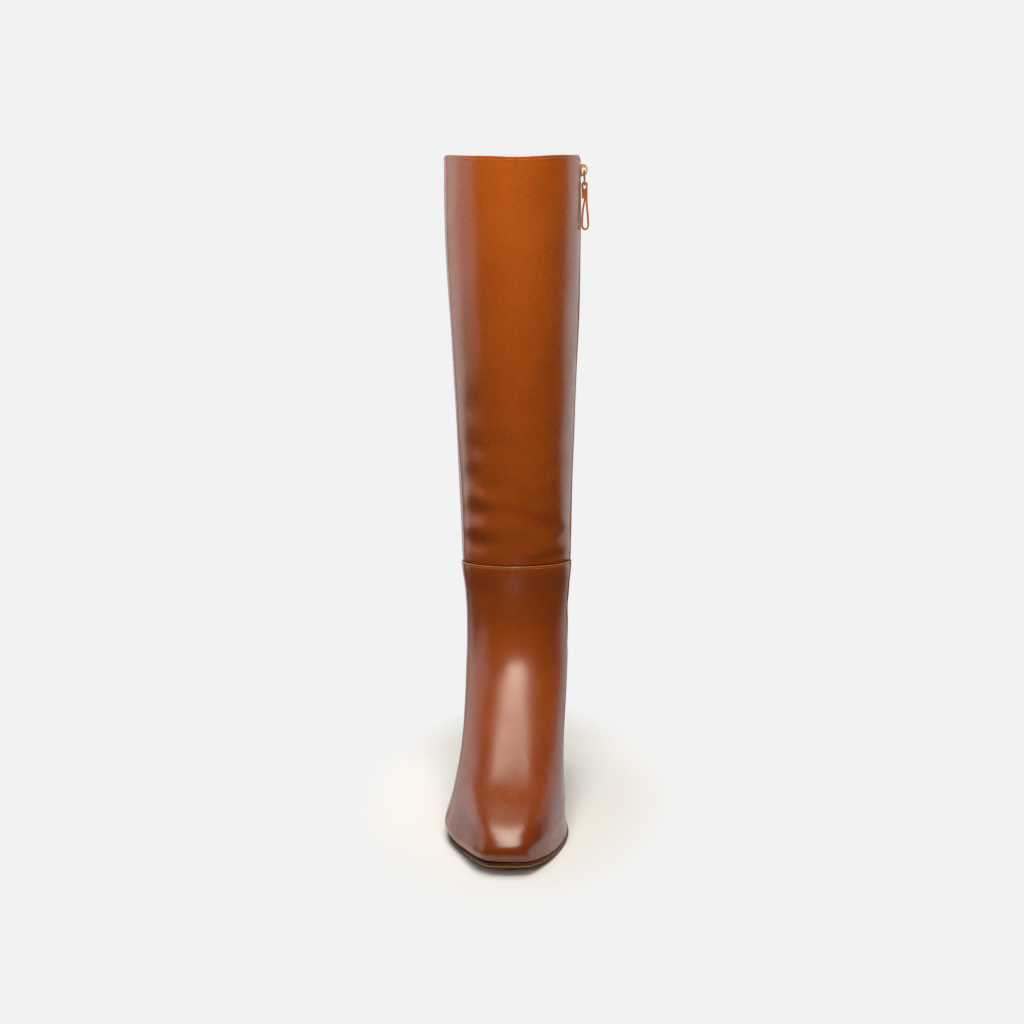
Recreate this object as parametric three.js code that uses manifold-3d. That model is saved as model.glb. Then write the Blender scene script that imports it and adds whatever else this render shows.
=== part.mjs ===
// Knee-high boot, right foot. Millimetres, +Z up, toe towards -Y, inner (zip) side towards +X.
// The origin is the centre of the heel's bottom face.
import * as THREE from 'three';
import { mergeVertices } from 'three/addons/utils/BufferGeometryUtils.js';
import Module from 'manifold-3d';

const wasm = await Module();
wasm.setup();

// Driving dimensions.
const HEEL_HEIGHT = 22;
const LIFT_THICKNESS = 4;
const SOLE_THICKNESS = 3;
const TOE_SPRING = 6.5;
const WALL = 2;
const LAP_STEP = 0.9;
const LAP_FADE = 1.2;
const GAP = 0.3;
const INSOLE_THICKNESS = 2.5;
const INSOLE_INSET = 4.2;

// Stations along the foot.
const TOE_TIP = -214.1;
const TREAD_FRONT = -152;
const TREAD_BACK = -112;
const HEEL_BREAST = -27;
const HEEL_BACK = 32;
const HEEL_HALF_WIDTH = 28;

// Zip.
const SLOT_WIDTH = 9;
const ZIP_BOTTOM = 43;
const ZIP_Y_COLLAR = -21;
const ZIP_Y_BOTTOM = -27;
const TAPE_WIDTH = 12;
const TAPE_THICKNESS = 0.6;
const TAPE_DEPTH = 2.5;
const CHAIN_WIDTH = 4.8;
const CHAIN_DEPTH = [-3.6, -0.8];
const SLIDER_LENGTH = 9.5;
const SLIDER_WIDTH = 7.6;
const PLATE_THICKNESS = 1.4;
const POST_WIDTH = 3;
const POST_LENGTH = 2.3;
const BRIDGE_WIDTH = 2.6;
const COLLAR_CORNER_DROP = 4;

// Zip pull: a metal link in the slider's bridge, and a strap of leather folded through it.
const PIVOT = { up: 4.6, out: 2.5 };
const LINK_WIRE = 1.2;
const LINK_WIDTH = 8;
const LINK_REACH = 10.2;
const STRAP_WIDTH = 4.8;
const STRAP_THICKNESS = 1.25;
const EYE_RADIUS = 1.25;
const NECK_HALF = 1.75;
const NECK_END = -21.6;
const DROP_HALF = 2.65;
const DROP_CENTRE = -38.3;

// Grid of the leather shells: columns round the boot, steps between two table rows.
const BACK_COLUMNS = 9;
const OUTER_COLUMNS = 27;
const FRONT_COLUMNS = 18;
const FOOT_STEPS = 2;
const SHAFT_STEPS = 2;

// Outsole outline: y, x of the inner edge, x of the outer edge.
const OUTLINE = [
  { y: TOE_TIP, inner: 3, outer: 3 },
  { y: -211.6, inner: 15.4, outer: -9.6 },
  { y: -205, inner: 20.3, outer: -15.2 },
  { y: -194, inner: 25.9, outer: -20.9 },
  { y: -182, inner: 30.5, outer: -26.3 },
  { y: -166, inner: 34.9, outer: -33.8 },
  { y: -150, inner: 38, outer: -39.6 },
  { y: -134, inner: 38.9, outer: -42 },
  { y: -115, inner: 36.5, outer: -41.6 },
  { y: -90, inner: 29.5, outer: -37.5 },
  { y: -62, inner: 25, outer: -31.5 },
  { y: -30, inner: 26.5, outer: -28.5 },
  { y: -2, inner: 28, outer: -28 },
  { y: 16, inner: 24, outer: -24 },
  { y: 28, inner: 13, outer: -13 },
  { y: HEEL_BACK, inner: 0, outer: 0 },
];

// Sections of the upper and shaft, from the feather edge to the collar.
// front, back: y of the section's ends; frontZ, backZ: their heights; fit: width against the outline;
// shift: inwards; oval: 0 is the sole's outline, 1 is an oval of this half width;
// dip: how far the section follows the sole's curve; blunt: under 1 makes the oval's front end broader.
const SECTION_COLUMNS = [
  'name', 'front', 'frontZ', 'back', 'backZ', 'fit', 'shift', 'oval', 'half', 'dip', 'blunt',
];
const SECTIONS = [
  ['feather', -213.6, 10, 31.5, 25.5, 0.985, 0, 0, 36, 1, 0.6],
  ['low wall', -215.3, 14.5, 34, 35, 1.015, -1.9, 0.1, 36.4, 0.95, 0.6],
  ['toe wall', -212.6, 20.5, 35.5, 48, 0.985, -0.6, 0.25, 36, 0.75, 0.6],
  ['toe cap', -203.5, 27.5, 34.5, 60, 0.955, 0, 0.45, 35.8, 0.5, 0.6],
  ['toe break', -184, 35, 32.5, 72, 0.935, 0.2, 0.72, 35.6, 0.3, 0.62],
  ['vamp', -156, 45, 30, 84, 0.92, 0.3, 0.9, 35.5, 0.15, 0.7],
  ['low instep', -126, 61, 27.5, 95, 1, 0.3, 1, 35.7, 0, 0.8],
  ['instep', -98, 80, 25.5, 105, 1, 0.3, 1, 36, 0, 0.9],
  ['high instep', -78, 99, 24.3, 114, 1, 0.1, 1, 36, 0, 0.97],
  ['ankle', -68.5, 122, 24, 125, 1, -0.2, 1, 36, 0, 1],
  ['above ankle', -68, 146, 26, 142, 1, -0.2, 1, 36.9, 0, 1],
  ['seam', -71.5, 169.4, 29, 157.4, 1, -0.3, 1, 38, 0, 1],
  ['low calf', -76, 206, 35, 200, 1, 0, 1, 39.3, 0, 1],
  ['calf rise', -80, 244, 41.5, 241, 1, 0, 1, 40.9, 0, 1],
  ['mid calf', -83.5, 280, 46, 279, 1, 0, 1, 42.5, 0, 1],
  ['full calf', -86, 314, 48.5, 314, 1, 0, 1, 44.1, 0, 1],
  ['high calf', -87.5, 349, 49, 349, 1, -0.1, 1, 45.6, 0, 1],
  ['below knee', -88.3, 384, 48, 384, 1, -0.1, 1, 46.4, 0, 1],
  ['top band', -88.6, 416, 47, 416, 1, 0, 1, 46.8, 0, 1],
  ['collar', -88.8, 446.3, 46, 446.3, 1, 0, 1, 46.6, 0, 1],
].map((row) => Object.fromEntries(SECTION_COLUMNS.map((column, i) => [column, row[i]])));
const CREST_ROUNDING = 0.15;
const SEAM_LEVEL = SECTIONS.findIndex((row) => row.name === 'seam');
const COLLAR_LEVEL = SECTIONS.length - 1;
const COLLAR_HEIGHT = SECTIONS[COLLAR_LEVEL].frontZ;

const lerp = (a, b, t) => a + (b - a) * t;
const clamp01 = (t) => Math.min(1, Math.max(0, t));
const smooth = (t) => clamp01(t) ** 2 * (3 - 2 * clamp01(t));

// ---- sole curves ----

function soleBottom(y) {
  if (y < TREAD_FRONT) return TOE_SPRING * ((TREAD_FRONT - y) / (TREAD_FRONT - TOE_TIP)) ** 2;
  return HEEL_HEIGHT * smooth((y - TREAD_BACK) / (HEEL_BREAST - TREAD_BACK));
}

const soleTop = (y) => soleBottom(y) + SOLE_THICKNESS;

// The smooth closed outline, split into its inner and outer half, each from toe to heel.
const OUTLINE_SAMPLES = 1200;
const halves = (() => {
  const inner = OUTLINE.map((p) => new THREE.Vector3(p.inner, p.y, 0));
  const outer = OUTLINE.slice(1, -1).reverse().map((p) => new THREE.Vector3(p.outer, p.y, 0));
  const loop = new THREE.CatmullRomCurve3([...inner, ...outer], true, 'centripetal');
  const points = loop.getPoints(OUTLINE_SAMPLES);
  const heel = points.reduce((best, p, i) => (p.y > points[best].y ? i : best), 0);
  return { inner: points.slice(0, heel + 1), outer: points.slice(heel).reverse() };
})();

function outlineX(y, side) {
  const chain = side >= 0 ? halves.inner : halves.outer;
  let low = 0;
  let high = chain.length - 1;
  while (high - low > 1) {
    const middle = (low + high) >> 1;
    if (chain[middle].y <= y) low = middle;
    else high = middle;
  }
  const span = chain[high].y - chain[low].y;
  return lerp(chain[low].x, chain[high].x, span > 1e-9 ? clamp01((y - chain[low].y) / span) : 0);
}

// ---- the boot's outer skin ----

// A table column at any level, by a cubic through the rows.
function columnAt(key, level) {
  const last = SECTIONS.length - 1;
  const i = Math.min(last - 1, Math.max(0, Math.floor(level)));
  const t = level - i;
  const at = (k) => SECTIONS[k][key];
  const p1 = at(i);
  const p2 = at(i + 1);
  const m1 = i > 0 ? (p2 - at(i - 1)) / 2 : p2 - p1;
  const m2 = i + 2 <= last ? (at(i + 2) - p1) / 2 : p2 - p1;
  const a = 2 * p1 - 2 * p2 + m1 + m2;
  const b = -3 * p1 + 3 * p2 - 2 * m1 - m2;
  return ((a * t + b) * t + m1) * t + p1;
}

// The sine of the angle, made broader over the front half by a power under 1.
function bulge(angle, blunt) {
  const sine = Math.sin(angle);
  const power = (blunt - 1) * smooth(Math.cos(angle) + 0.5);
  return sine * ((sine ** 2 + CREST_ROUNDING ** 2) / (1 + CREST_ROUNDING ** 2)) ** (power / 2);
}

// angle: 0 at the toe, +-PI at the heel, positive on the inner side. level: a place in SECTIONS.
function skin(angle, level) {
  const turn = Math.atan2(Math.sin(angle), Math.cos(angle));
  const share = (1 - Math.cos(turn)) / 2;
  const y = lerp(columnAt('front', level), columnAt('back', level), share);
  const station = lerp(TOE_TIP, HEEL_BACK, share);
  const foot = outlineX(station, turn) * columnAt('fit', level);
  const oval = columnAt('half', level) * bulge(turn, columnAt('blunt', level));
  const chord = lerp(soleTop(TOE_TIP), soleTop(HEEL_BACK), share);
  const sag = (chord - soleTop(station)) * columnAt('dip', level);
  const z = lerp(columnAt('frontZ', level), columnAt('backZ', level), share) - sag;
  const x = lerp(foot, oval, columnAt('oval', level)) + columnAt('shift', level);
  return new THREE.Vector3(x, y, z);
}

// Unit vectors of the skin at a point: along it upwards, across it, and out of it.
function skinFrame(angle, level) {
  const turn = 0.01;
  const rise = 0.02;
  const low = Math.max(0, level - rise);
  const high = Math.min(COLLAR_LEVEL, level + rise);
  const up = skin(angle, high).sub(skin(angle, low)).normalize();
  const round = skin(angle + turn, level).sub(skin(angle - turn, level));
  const out = new THREE.Vector3().crossVectors(round, up).normalize();
  const across = new THREE.Vector3().crossVectors(up, out).normalize();
  return { up, across, out, pace: round.length() / (2 * turn) };
}

const zipY = (z) => lerp(ZIP_Y_BOTTOM, ZIP_Y_COLLAR, (z - ZIP_BOTTOM) / (COLLAR_HEIGHT - ZIP_BOTTOM));

// The angle at which a level crosses the zip's line.
function zipAngle(level) {
  const front = columnAt('front', level);
  const back = columnAt('back', level);
  let angle = Math.PI / 2;
  for (let i = 0; i < 6; i++) {
    const share = (zipY(skin(angle, level).z) - front) / (back - front);
    angle = Math.acos(1 - 2 * share);
  }
  return angle;
}

// The level at which the zip's line reaches a height.
function zipLevel(z) {
  let low = 0;
  let high = COLLAR_LEVEL;
  for (let i = 0; i < 40; i++) {
    const middle = (low + high) / 2;
    if (skin(zipAngle(middle), middle).z < z) low = middle;
    else high = middle;
  }
  return (low + high) / 2;
}

// Columns of a shell, from the slot's back edge round the heel, the outer side and the toe to its front edge.
function shellColumns(level) {
  const zip = zipAngle(level);
  const half = SLOT_WIDTH / 2 / skinFrame(zip, level).pace;
  const angles = [];
  for (let i = 0; i < BACK_COLUMNS; i++) angles.push(lerp(zip + half, Math.PI, i / BACK_COLUMNS));
  for (let i = 0; i < OUTER_COLUMNS; i++) angles.push(lerp(-Math.PI, 0, i / OUTER_COLUMNS));
  for (let i = 0; i <= FRONT_COLUMNS; i++) angles.push(lerp(0, zip - half, i / FRONT_COLUMNS));
  return angles;
}

// ---- geometry helpers ----

function geometryOf(points, triangles) {
  const geometry = new THREE.BufferGeometry();
  geometry.setAttribute('position', new THREE.Float32BufferAttribute(points.flatMap((p) => p.toArray()), 3));
  geometry.setIndex(triangles.flat());
  return geometry;
}

// A closed shell between two equal grids of points. filled(row, column) says which cells have leather.
function shellGeometry(outer, inner, filled) {
  const rows = outer.length;
  const columns = outer[0].length;
  const points = [...outer.flat(), ...inner.flat()];
  const at = (row, column, side) => (side * rows + row) * columns + (column % columns);
  const has = (row, column) => row >= 0 && row < rows - 1 && filled(row, (column + columns) % columns);
  const triangles = [];
  const quad = (a, b, c, d) => triangles.push([a, b, c], [a, c, d]);
  for (let r = 0; r < rows - 1; r++) {
    for (let c = 0; c < columns; c++) {
      if (!has(r, c)) continue;
      quad(at(r, c, 0), at(r, c + 1, 0), at(r + 1, c + 1, 0), at(r + 1, c, 0));
      quad(at(r, c, 1), at(r + 1, c, 1), at(r + 1, c + 1, 1), at(r, c + 1, 1));
      if (!has(r - 1, c)) quad(at(r, c, 1), at(r, c + 1, 1), at(r, c + 1, 0), at(r, c, 0));
      if (!has(r + 1, c)) quad(at(r + 1, c, 0), at(r + 1, c + 1, 0), at(r + 1, c + 1, 1), at(r + 1, c, 1));
      if (!has(r, c - 1)) quad(at(r, c, 0), at(r + 1, c, 0), at(r + 1, c, 1), at(r, c, 1));
      if (!has(r, c + 1)) quad(at(r, c + 1, 1), at(r + 1, c + 1, 1), at(r + 1, c + 1, 0), at(r, c + 1, 0));
    }
  }
  return geometryOf(points, triangles);
}

// Leather between two levels; proud(level) is how far it stands off the skin.
function leather(levels, slotFrom, proud) {
  const outer = [];
  const inner = [];
  levels.forEach((level) => {
    const angles = shellColumns(level);
    const outerRow = [];
    const innerRow = [];
    angles.forEach((angle, column) => {
      const { out } = skinFrame(angle, level);
      const point = skin(angle, level).addScaledVector(out, proud(level));
      const atSlot = column === 0 || column === angles.length - 1;
      if (atSlot && level === COLLAR_LEVEL) point.z -= COLLAR_CORNER_DROP;
      outerRow.push(point);
      innerRow.push(point.clone().addScaledVector(out, -WALL));
    });
    outer.push(outerRow);
    inner.push(innerRow);
  });
  const slotColumn = outer[0].length - 1;
  return shellGeometry(outer, inner, (row, column) => column !== slotColumn || levels[row] < slotFrom);
}

// A plate on the sole's curve: rows across the foot at each station between two outlines.
function plateGeometry(from, to, inset, bottom, top, steps) {
  const points = [];
  const rows = [];
  for (let i = 0; i <= steps; i++) {
    const share = (1 - Math.cos((Math.PI * i) / steps)) / 2;
    const y = lerp(from, to, share);
    const station = lerp(TOE_TIP, HEEL_BACK, (y - from) / (to - from));
    const edge = (side) => {
      const x = outlineX(station, side);
      const centre = (outlineX(station, 1) + outlineX(station, -1)) / 2;
      const half = Math.abs(x - centre);
      return centre + side * Math.max(0, half - inset * clamp01(half / (2 * inset + 1)));
    };
    const ends = i === 0 || i === steps ? [(edge(1) + edge(-1)) / 2] : [edge(1), edge(-1)];
    const add = (x, z) => points.push(new THREE.Vector3(x, y, z)) - 1;
    rows.push({ low: ends.map((x) => add(x, bottom(y))), high: ends.map((x) => add(x, top(y))) });
  }
  const triangles = [];
  for (let i = 0; i < steps; i++) {
    const a = rows[i];
    const b = rows[i + 1];
    const [aIn, aOut] = [0, a.low.length - 1];
    const [bIn, bOut] = [0, b.low.length - 1];
    const face = (p, q, r) => {
      if (p !== q && q !== r && p !== r) triangles.push([p, q, r]);
    };
    face(a.high[aIn], b.high[bIn], b.high[bOut]);
    face(a.high[aIn], b.high[bOut], a.high[aOut]);
    face(a.low[aIn], b.low[bOut], b.low[bIn]);
    face(a.low[aIn], a.low[aOut], b.low[bOut]);
    face(a.low[aIn], b.low[bIn], b.high[bIn]);
    face(a.low[aIn], b.high[bIn], a.high[aIn]);
    face(a.low[aOut], b.high[bOut], b.low[bOut]);
    face(a.low[aOut], a.high[aOut], b.high[bOut]);
  }
  return geometryOf(points, triangles);
}

// A bar that follows the zip's line: its width across the line and its depth out of the skin.
function zipBar(fromZ, toZ, across, depth, steps) {
  const low = zipLevel(fromZ);
  const high = zipLevel(toZ);
  const points = [];
  for (let i = 0; i <= steps; i++) {
    const level = lerp(low, high, i / steps);
    const angle = zipAngle(level);
    const frame = skinFrame(angle, level);
    const corner = (a, d) => {
      const turned = angle + a / frame.pace;
      return skin(turned, level).addScaledVector(skinFrame(turned, level).out, d);
    };
    points.push(corner(across[0], depth[0]), corner(across[1], depth[0]));
    points.push(corner(across[1], depth[1]), corner(across[0], depth[1]));
  }
  const triangles = [];
  const quad = (a, b, c, d) => triangles.push([a, b, c], [a, c, d]);
  for (let i = 0; i < steps; i++) {
    for (let k = 0; k < 4; k++) {
      const next = (k + 1) % 4;
      quad(4 * i + next, 4 * i + k, 4 * i + 4 + k, 4 * i + 4 + next);
    }
  }
  const end = 4 * steps;
  quad(0, 1, 2, 3);
  quad(end + 3, end + 2, end + 1, end);
  return geometryOf(points, triangles);
}

function shapeOf(points, holes = []) {
  const ring = (list) => list.map(([x, y]) => new THREE.Vector2(x, y));
  const outline = ring(points);
  if (THREE.ShapeUtils.isClockWise(outline)) outline.reverse();
  const shape = new THREE.Shape(outline);
  holes.forEach((hole) => shape.holes.push(new THREE.Path(ring(hole))));
  return shape;
}

const rectangle = (x0, x1, y0, y1) => [[x0, y0], [x1, y0], [x1, y1], [x0, y1]];

// A flat shape made thick, centred on its plane.
function slab(shape, thickness, curveSegments = 8) {
  const geometry = new THREE.ExtrudeGeometry(shape, { depth: thickness, bevelEnabled: false, curveSegments });
  return geometry.translate(0, 0, -thickness / 2);
}

function toSolid(geometry) {
  const bare = geometry.clone();
  bare.deleteAttribute('normal');
  bare.deleteAttribute('uv');
  const merged = mergeVertices(bare, 1e-4);
  const mesh = new wasm.Mesh({
    numProp: 3,
    vertProperties: new Float32Array(merged.attributes.position.array),
    triVerts: new Uint32Array(merged.index.array),
  });
  return new wasm.Manifold(mesh);
}

function fromSolid(solid) {
  const mesh = solid.getMesh();
  const geometry = new THREE.BufferGeometry();
  geometry.setAttribute('position', new THREE.BufferAttribute(new Float32Array(mesh.vertProperties), 3));
  geometry.setIndex([...mesh.triVerts]);
  return geometry;
}

// ---- pieces ----

const boot = new THREE.Group();

function addPiece(parent, name, geometry, color, roughness, metalness = 0) {
  const mesh = new THREE.Mesh(geometry, new THREE.MeshStandardMaterial({ color, roughness, metalness }));
  mesh.name = name;
  parent.add(mesh);
  return mesh;
}

const CALF_LEATHER = 0x8a4419;
const SOLE_LEATHER = 0x6e3a1c;
const RUBBER = 0x2a1a12;
const LINING = 0xb07a4a;
const TAPE = 0x6a3014;
const GOLD = 0xc9a24e;

// Outsole, heel block, top lift and insole.
const SOLE_STEPS = 44;
const HEEL_ARC_STEPS = 20;
const BREAST_STEPS = 6;

function addSole() {
  const geometry = plateGeometry(TOE_TIP, HEEL_BACK, 0, soleBottom, soleTop, SOLE_STEPS);
  addPiece(boot, 'outsole', geometry, SOLE_LEATHER, 0.5);
}

// The heel's D-shaped outline, drawn in from the sole's edge by an inset.
function heelShape(inset, hollow) {
  const side = (sign) => {
    const points = [];
    for (let i = 0; i <= HEEL_ARC_STEPS; i++) {
      const y = lerp(HEEL_BREAST, HEEL_BACK, Math.sin((Math.PI / 2) * (i / HEEL_ARC_STEPS)));
      const x = outlineX(y, sign);
      const shrink = 1 - inset / HEEL_HALF_WIDTH;
      points.push([x * shrink, y > 0 ? y * (1 - inset / HEEL_BACK) : y]);
    }
    return points;
  };
  const inner = side(1);
  const outer = side(-1).reverse();
  const breast = [];
  for (let i = 1; i < BREAST_STEPS; i++) {
    const t = i / BREAST_STEPS;
    breast.push([lerp(outer.at(-1)[0], inner[0][0], t), HEEL_BREAST + hollow * 4 * t * (1 - t)]);
  }
  return shapeOf([...inner, ...outer.slice(1), ...breast]);
}

const HEEL_TOP_INSET = 0.8;
const HEEL_BASE_INSET = 2.2;
const BREAST_HOLLOW = 3;

function addHeel() {
  const lift = new THREE.ExtrudeGeometry(heelShape(HEEL_BASE_INSET, BREAST_HOLLOW), {
    depth: LIFT_THICKNESS,
    bevelEnabled: false,
  });
  addPiece(boot, 'heel_top_lift', lift, RUBBER, 0.8);

  const bottom = LIFT_THICKNESS + GAP;
  const height = HEEL_HEIGHT - GAP - bottom;
  const block = new THREE.ExtrudeGeometry(heelShape(HEEL_TOP_INSET, BREAST_HOLLOW), {
    depth: height,
    bevelEnabled: false,
  });
  const position = block.attributes.position;
  const taper = (HEEL_HALF_WIDTH - HEEL_BASE_INSET) / (HEEL_HALF_WIDTH - HEEL_TOP_INSET);
  for (let i = 0; i < position.count; i++) {
    const scale = lerp(taper, 1, position.getZ(i) / height);
    position.setXY(i, position.getX(i) * scale, position.getY(i) * (position.getY(i) > 0 ? scale : 1));
  }
  addPiece(boot, 'heel', block, SOLE_LEATHER, 0.45).position.z = bottom;
}

function addInsole() {
  const from = TOE_TIP + INSOLE_INSET;
  const to = HEEL_BACK - INSOLE_INSET;
  const bottom = (y) => soleTop(y) + GAP;
  const top = (y) => bottom(y) + INSOLE_THICKNESS;
  addPiece(boot, 'insole', plateGeometry(from, to, INSOLE_INSET, bottom, top, SOLE_STEPS), LINING, 0.7);
}

// The foot part of the upper, up to the seam: one row of the grid is moved to the slot's lower end.
function addUpper() {
  const slotLevel = zipLevel(ZIP_BOTTOM);
  const levels = Array.from({ length: SEAM_LEVEL * FOOT_STEPS + 1 }, (_, i) => i / FOOT_STEPS);
  levels[Math.round(slotLevel * FOOT_STEPS)] = slotLevel;
  const lap = (level) => LAP_STEP * smooth(1 - (SEAM_LEVEL - level) / LAP_FADE);
  addPiece(boot, 'upper', leather(levels, slotLevel, lap), CALF_LEATHER, 0.35);
}

function addShaft() {
  const seamGap = GAP / (columnAt('backZ', SEAM_LEVEL + 1) - columnAt('backZ', SEAM_LEVEL));
  const count = (COLLAR_LEVEL - SEAM_LEVEL) * SHAFT_STEPS;
  const levels = Array.from({ length: count + 1 }, (_, i) => SEAM_LEVEL + i / SHAFT_STEPS);
  levels[0] += seamGap;
  addPiece(boot, 'shaft', leather(levels, 0, () => 0), CALF_LEATHER, 0.35);
}

// Zip: two tapes behind the slot's edges, the closed chain between them, and the slider near the collar.
const ZIP_STEPS = 30;
const SLIDER_Z = COLLAR_HEIGHT - COLLAR_CORNER_DROP - GAP - SLIDER_LENGTH;

function addZip() {
  const from = ZIP_BOTTOM + 1;
  const tapeTop = SLIDER_Z + SLIDER_LENGTH;
  const chainTop = tapeTop - POST_LENGTH - GAP;
  const depth = [-TAPE_DEPTH - TAPE_THICKNESS, -TAPE_DEPTH];
  const half = CHAIN_WIDTH / 2;
  const near = half + GAP;
  const far = near + TAPE_WIDTH;
  addPiece(boot, 'zip_tape_front', zipBar(from, tapeTop, [-far, -near], depth, ZIP_STEPS), TAPE, 0.85);
  addPiece(boot, 'zip_tape_back', zipBar(from, tapeTop, [near, far], depth, ZIP_STEPS), TAPE, 0.85);
  addPiece(boot, 'zip_chain', zipBar(from, chainTop, [-half, half], CHAIN_DEPTH, ZIP_STEPS), GOLD, 0.35, 1);
}

// A group on the zip's line at the slider: x runs back across the line, y up it, z out of the leather.
const sliderSeat = (() => {
  const level = zipLevel(SLIDER_Z);
  const angle = zipAngle(level);
  const { across, up, out } = skinFrame(angle, level);
  const seat = new THREE.Group();
  seat.quaternion.setFromRotationMatrix(new THREE.Matrix4().makeBasis(across, up, out));
  seat.position.copy(skin(angle, level));
  return seat;
})();
boot.add(sliderSeat);

// A profile drawn in (out, up) and made thick across the zip's line.
const sideSlab = (shape, thickness) => slab(shape, thickness).rotateY(-Math.PI / 2);

function addSlider() {
  const topPlate = CHAIN_DEPTH[1] + GAP;
  const bottomPlate = CHAIN_DEPTH[0] - GAP - PLATE_THICKNESS;
  const plate = (out) => rectangle(out, out + PLATE_THICKNESS, 0, SLIDER_LENGTH);
  const post = rectangle(bottomPlate, topPlate + PLATE_THICKNESS, SLIDER_LENGTH - POST_LENGTH, SLIDER_LENGTH);
  const arch = [[0.6, 1], [3.3, 1.5], [4.6, 3], [4.8, 5], [4.6, 7], [3.3, 8.4], [0.6, 9]];
  const eye = [[1.4, 2.4], [2.9, 2.7], [3.6, 3.6], [3.7, 5], [3.6, 6.2], [2.9, 7.2], [1.4, 7.5]];
  const solid = toSolid(sideSlab(shapeOf(plate(topPlate)), SLIDER_WIDTH))
    .add(toSolid(sideSlab(shapeOf(plate(bottomPlate)), SLIDER_WIDTH)))
    .add(toSolid(sideSlab(shapeOf(post), POST_WIDTH)))
    .add(toSolid(sideSlab(shapeOf(arch, [eye]), BRIDGE_WIDTH)));
  addPiece(sliderSeat, 'zip_slider', fromSolid(solid), GOLD, 0.3, 1);
}

const arc = (centreY, radius, from, to, steps) => Array.from({ length: steps + 1 }, (_, i) => {
  const angle = lerp(from, to, i / steps);
  return [radius * Math.cos(angle), centreY + radius * Math.sin(angle)];
});

// Half of the strap's hanging drop, from the end of its neck to its lowest point.
const DROP_STEPS = 8;
const ARC_STEPS = 6;

function dropHalf(neck, neckEnd, drop) {
  const side = Array.from({ length: DROP_STEPS + 1 }, (_, i) => {
    const t = i / DROP_STEPS;
    return [lerp(neck, drop, smooth(t)), lerp(neckEnd, DROP_CENTRE, t)];
  });
  return [...side, ...arc(DROP_CENTRE, drop, 0, -Math.PI / 2, ARC_STEPS).slice(1)];
}

// An outline from its half, whose two ends lie on the centre line.
const mirrored = (half) => [...half, ...half.slice(1, -1).reverse().map(([x, y]) => [-x, y])];

function addPull() {
  const pivot = new THREE.Group();
  pivot.position.set(0, PIVOT.up, PIVOT.out);
  sliderSeat.add(pivot);

  const wire = LINK_WIRE / 2;
  const halfLink = LINK_WIDTH / 2;
  const outline = rectangle(-halfLink, halfLink, -LINK_REACH - wire, wire);
  const opening = rectangle(LINK_WIRE - halfLink, halfLink - LINK_WIRE, wire - LINK_REACH, -wire);
  addPiece(pivot, 'zip_pull_link', slab(shapeOf(outline, [opening]), LINK_WIRE), GOLD, 0.3, 1);

  const round = EYE_RADIUS + STRAP_THICKNESS;
  const outside = mirrored([
    ...arc(-LINK_REACH, round, Math.PI / 2, 0, ARC_STEPS),
    [NECK_HALF, -LINK_REACH - 1.2 * round],
    ...dropHalf(NECK_HALF, NECK_END, DROP_HALF),
  ]);
  const inside = mirrored(dropHalf(0, NECK_END - STRAP_THICKNESS, DROP_HALF - STRAP_THICKNESS));
  const eye = arc(-LINK_REACH, EYE_RADIUS, 0, 2 * Math.PI, 2 * ARC_STEPS).slice(1);
  const strap = sideSlab(shapeOf(outside, [eye, inside]), STRAP_WIDTH);
  addPiece(pivot, 'zip_pull_strap', strap, CALF_LEATHER, 0.5);
}

addSole();
addHeel();
addInsole();
addUpper();
addShaft();
addZip();
addSlider();
addPull();

export default boot;
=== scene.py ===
import math

import bpy
import numpy as np
from mathutils import Matrix, Vector


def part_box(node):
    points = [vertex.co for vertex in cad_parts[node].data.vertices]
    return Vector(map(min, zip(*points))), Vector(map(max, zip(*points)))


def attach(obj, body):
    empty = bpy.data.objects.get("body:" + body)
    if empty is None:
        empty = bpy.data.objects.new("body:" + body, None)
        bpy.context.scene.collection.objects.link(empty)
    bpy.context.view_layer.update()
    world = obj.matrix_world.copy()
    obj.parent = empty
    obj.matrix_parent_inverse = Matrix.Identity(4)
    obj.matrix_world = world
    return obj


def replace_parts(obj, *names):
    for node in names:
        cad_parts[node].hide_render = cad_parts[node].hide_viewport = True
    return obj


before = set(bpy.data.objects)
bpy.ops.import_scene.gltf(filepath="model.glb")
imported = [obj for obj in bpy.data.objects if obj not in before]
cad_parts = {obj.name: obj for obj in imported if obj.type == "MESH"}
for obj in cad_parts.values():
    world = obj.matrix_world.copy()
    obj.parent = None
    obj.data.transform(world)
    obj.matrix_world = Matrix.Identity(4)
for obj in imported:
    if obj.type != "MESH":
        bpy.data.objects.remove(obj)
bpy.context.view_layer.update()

# Knee-high boot, right foot, in its finished leather. Sizes are millimetres until a mesh is made.
# +Z up, toe towards -Y, inner (zip) side towards +X.
MM = 0.001


def node_box(name):
    low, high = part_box(name)
    return np.array(low) / MM, np.array(high) / MM


# ---- driving sizes ----

TOE_TIP = node_box("outsole")[0][1]
HEEL_BACK = node_box("outsole")[1][1]
COLLAR_Z = node_box("shaft")[1][2]
NODE_GAP = 0.3
HEEL_HEIGHT = node_box("heel")[1][2] + NODE_GAP
LIFT_THICKNESS = node_box("heel_top_lift")[1][2]
HEEL_BREAST = -27
HEEL_HALF_WIDTH = 28
TREAD_FRONT = -152
TREAD_BACK = -112
TOE_SPRING = 6.5
SOLE_THICKNESS = 3

LEATHER = 1.2
LINING = 0.75
LINING_GAP = 0.1
LINING_DROP = 1.3
LAP_STEP = 0.9
LAP_FADE = 1.2
LAP_UNDER = 5
EDGE_ROUND = 0.32
COLLAR_ROUND = 0.45
SEAM_TUCK = 1.2
LAP_STITCH_DOWN = 1.5
COLLAR_STITCH_DOWN = 2

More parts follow.
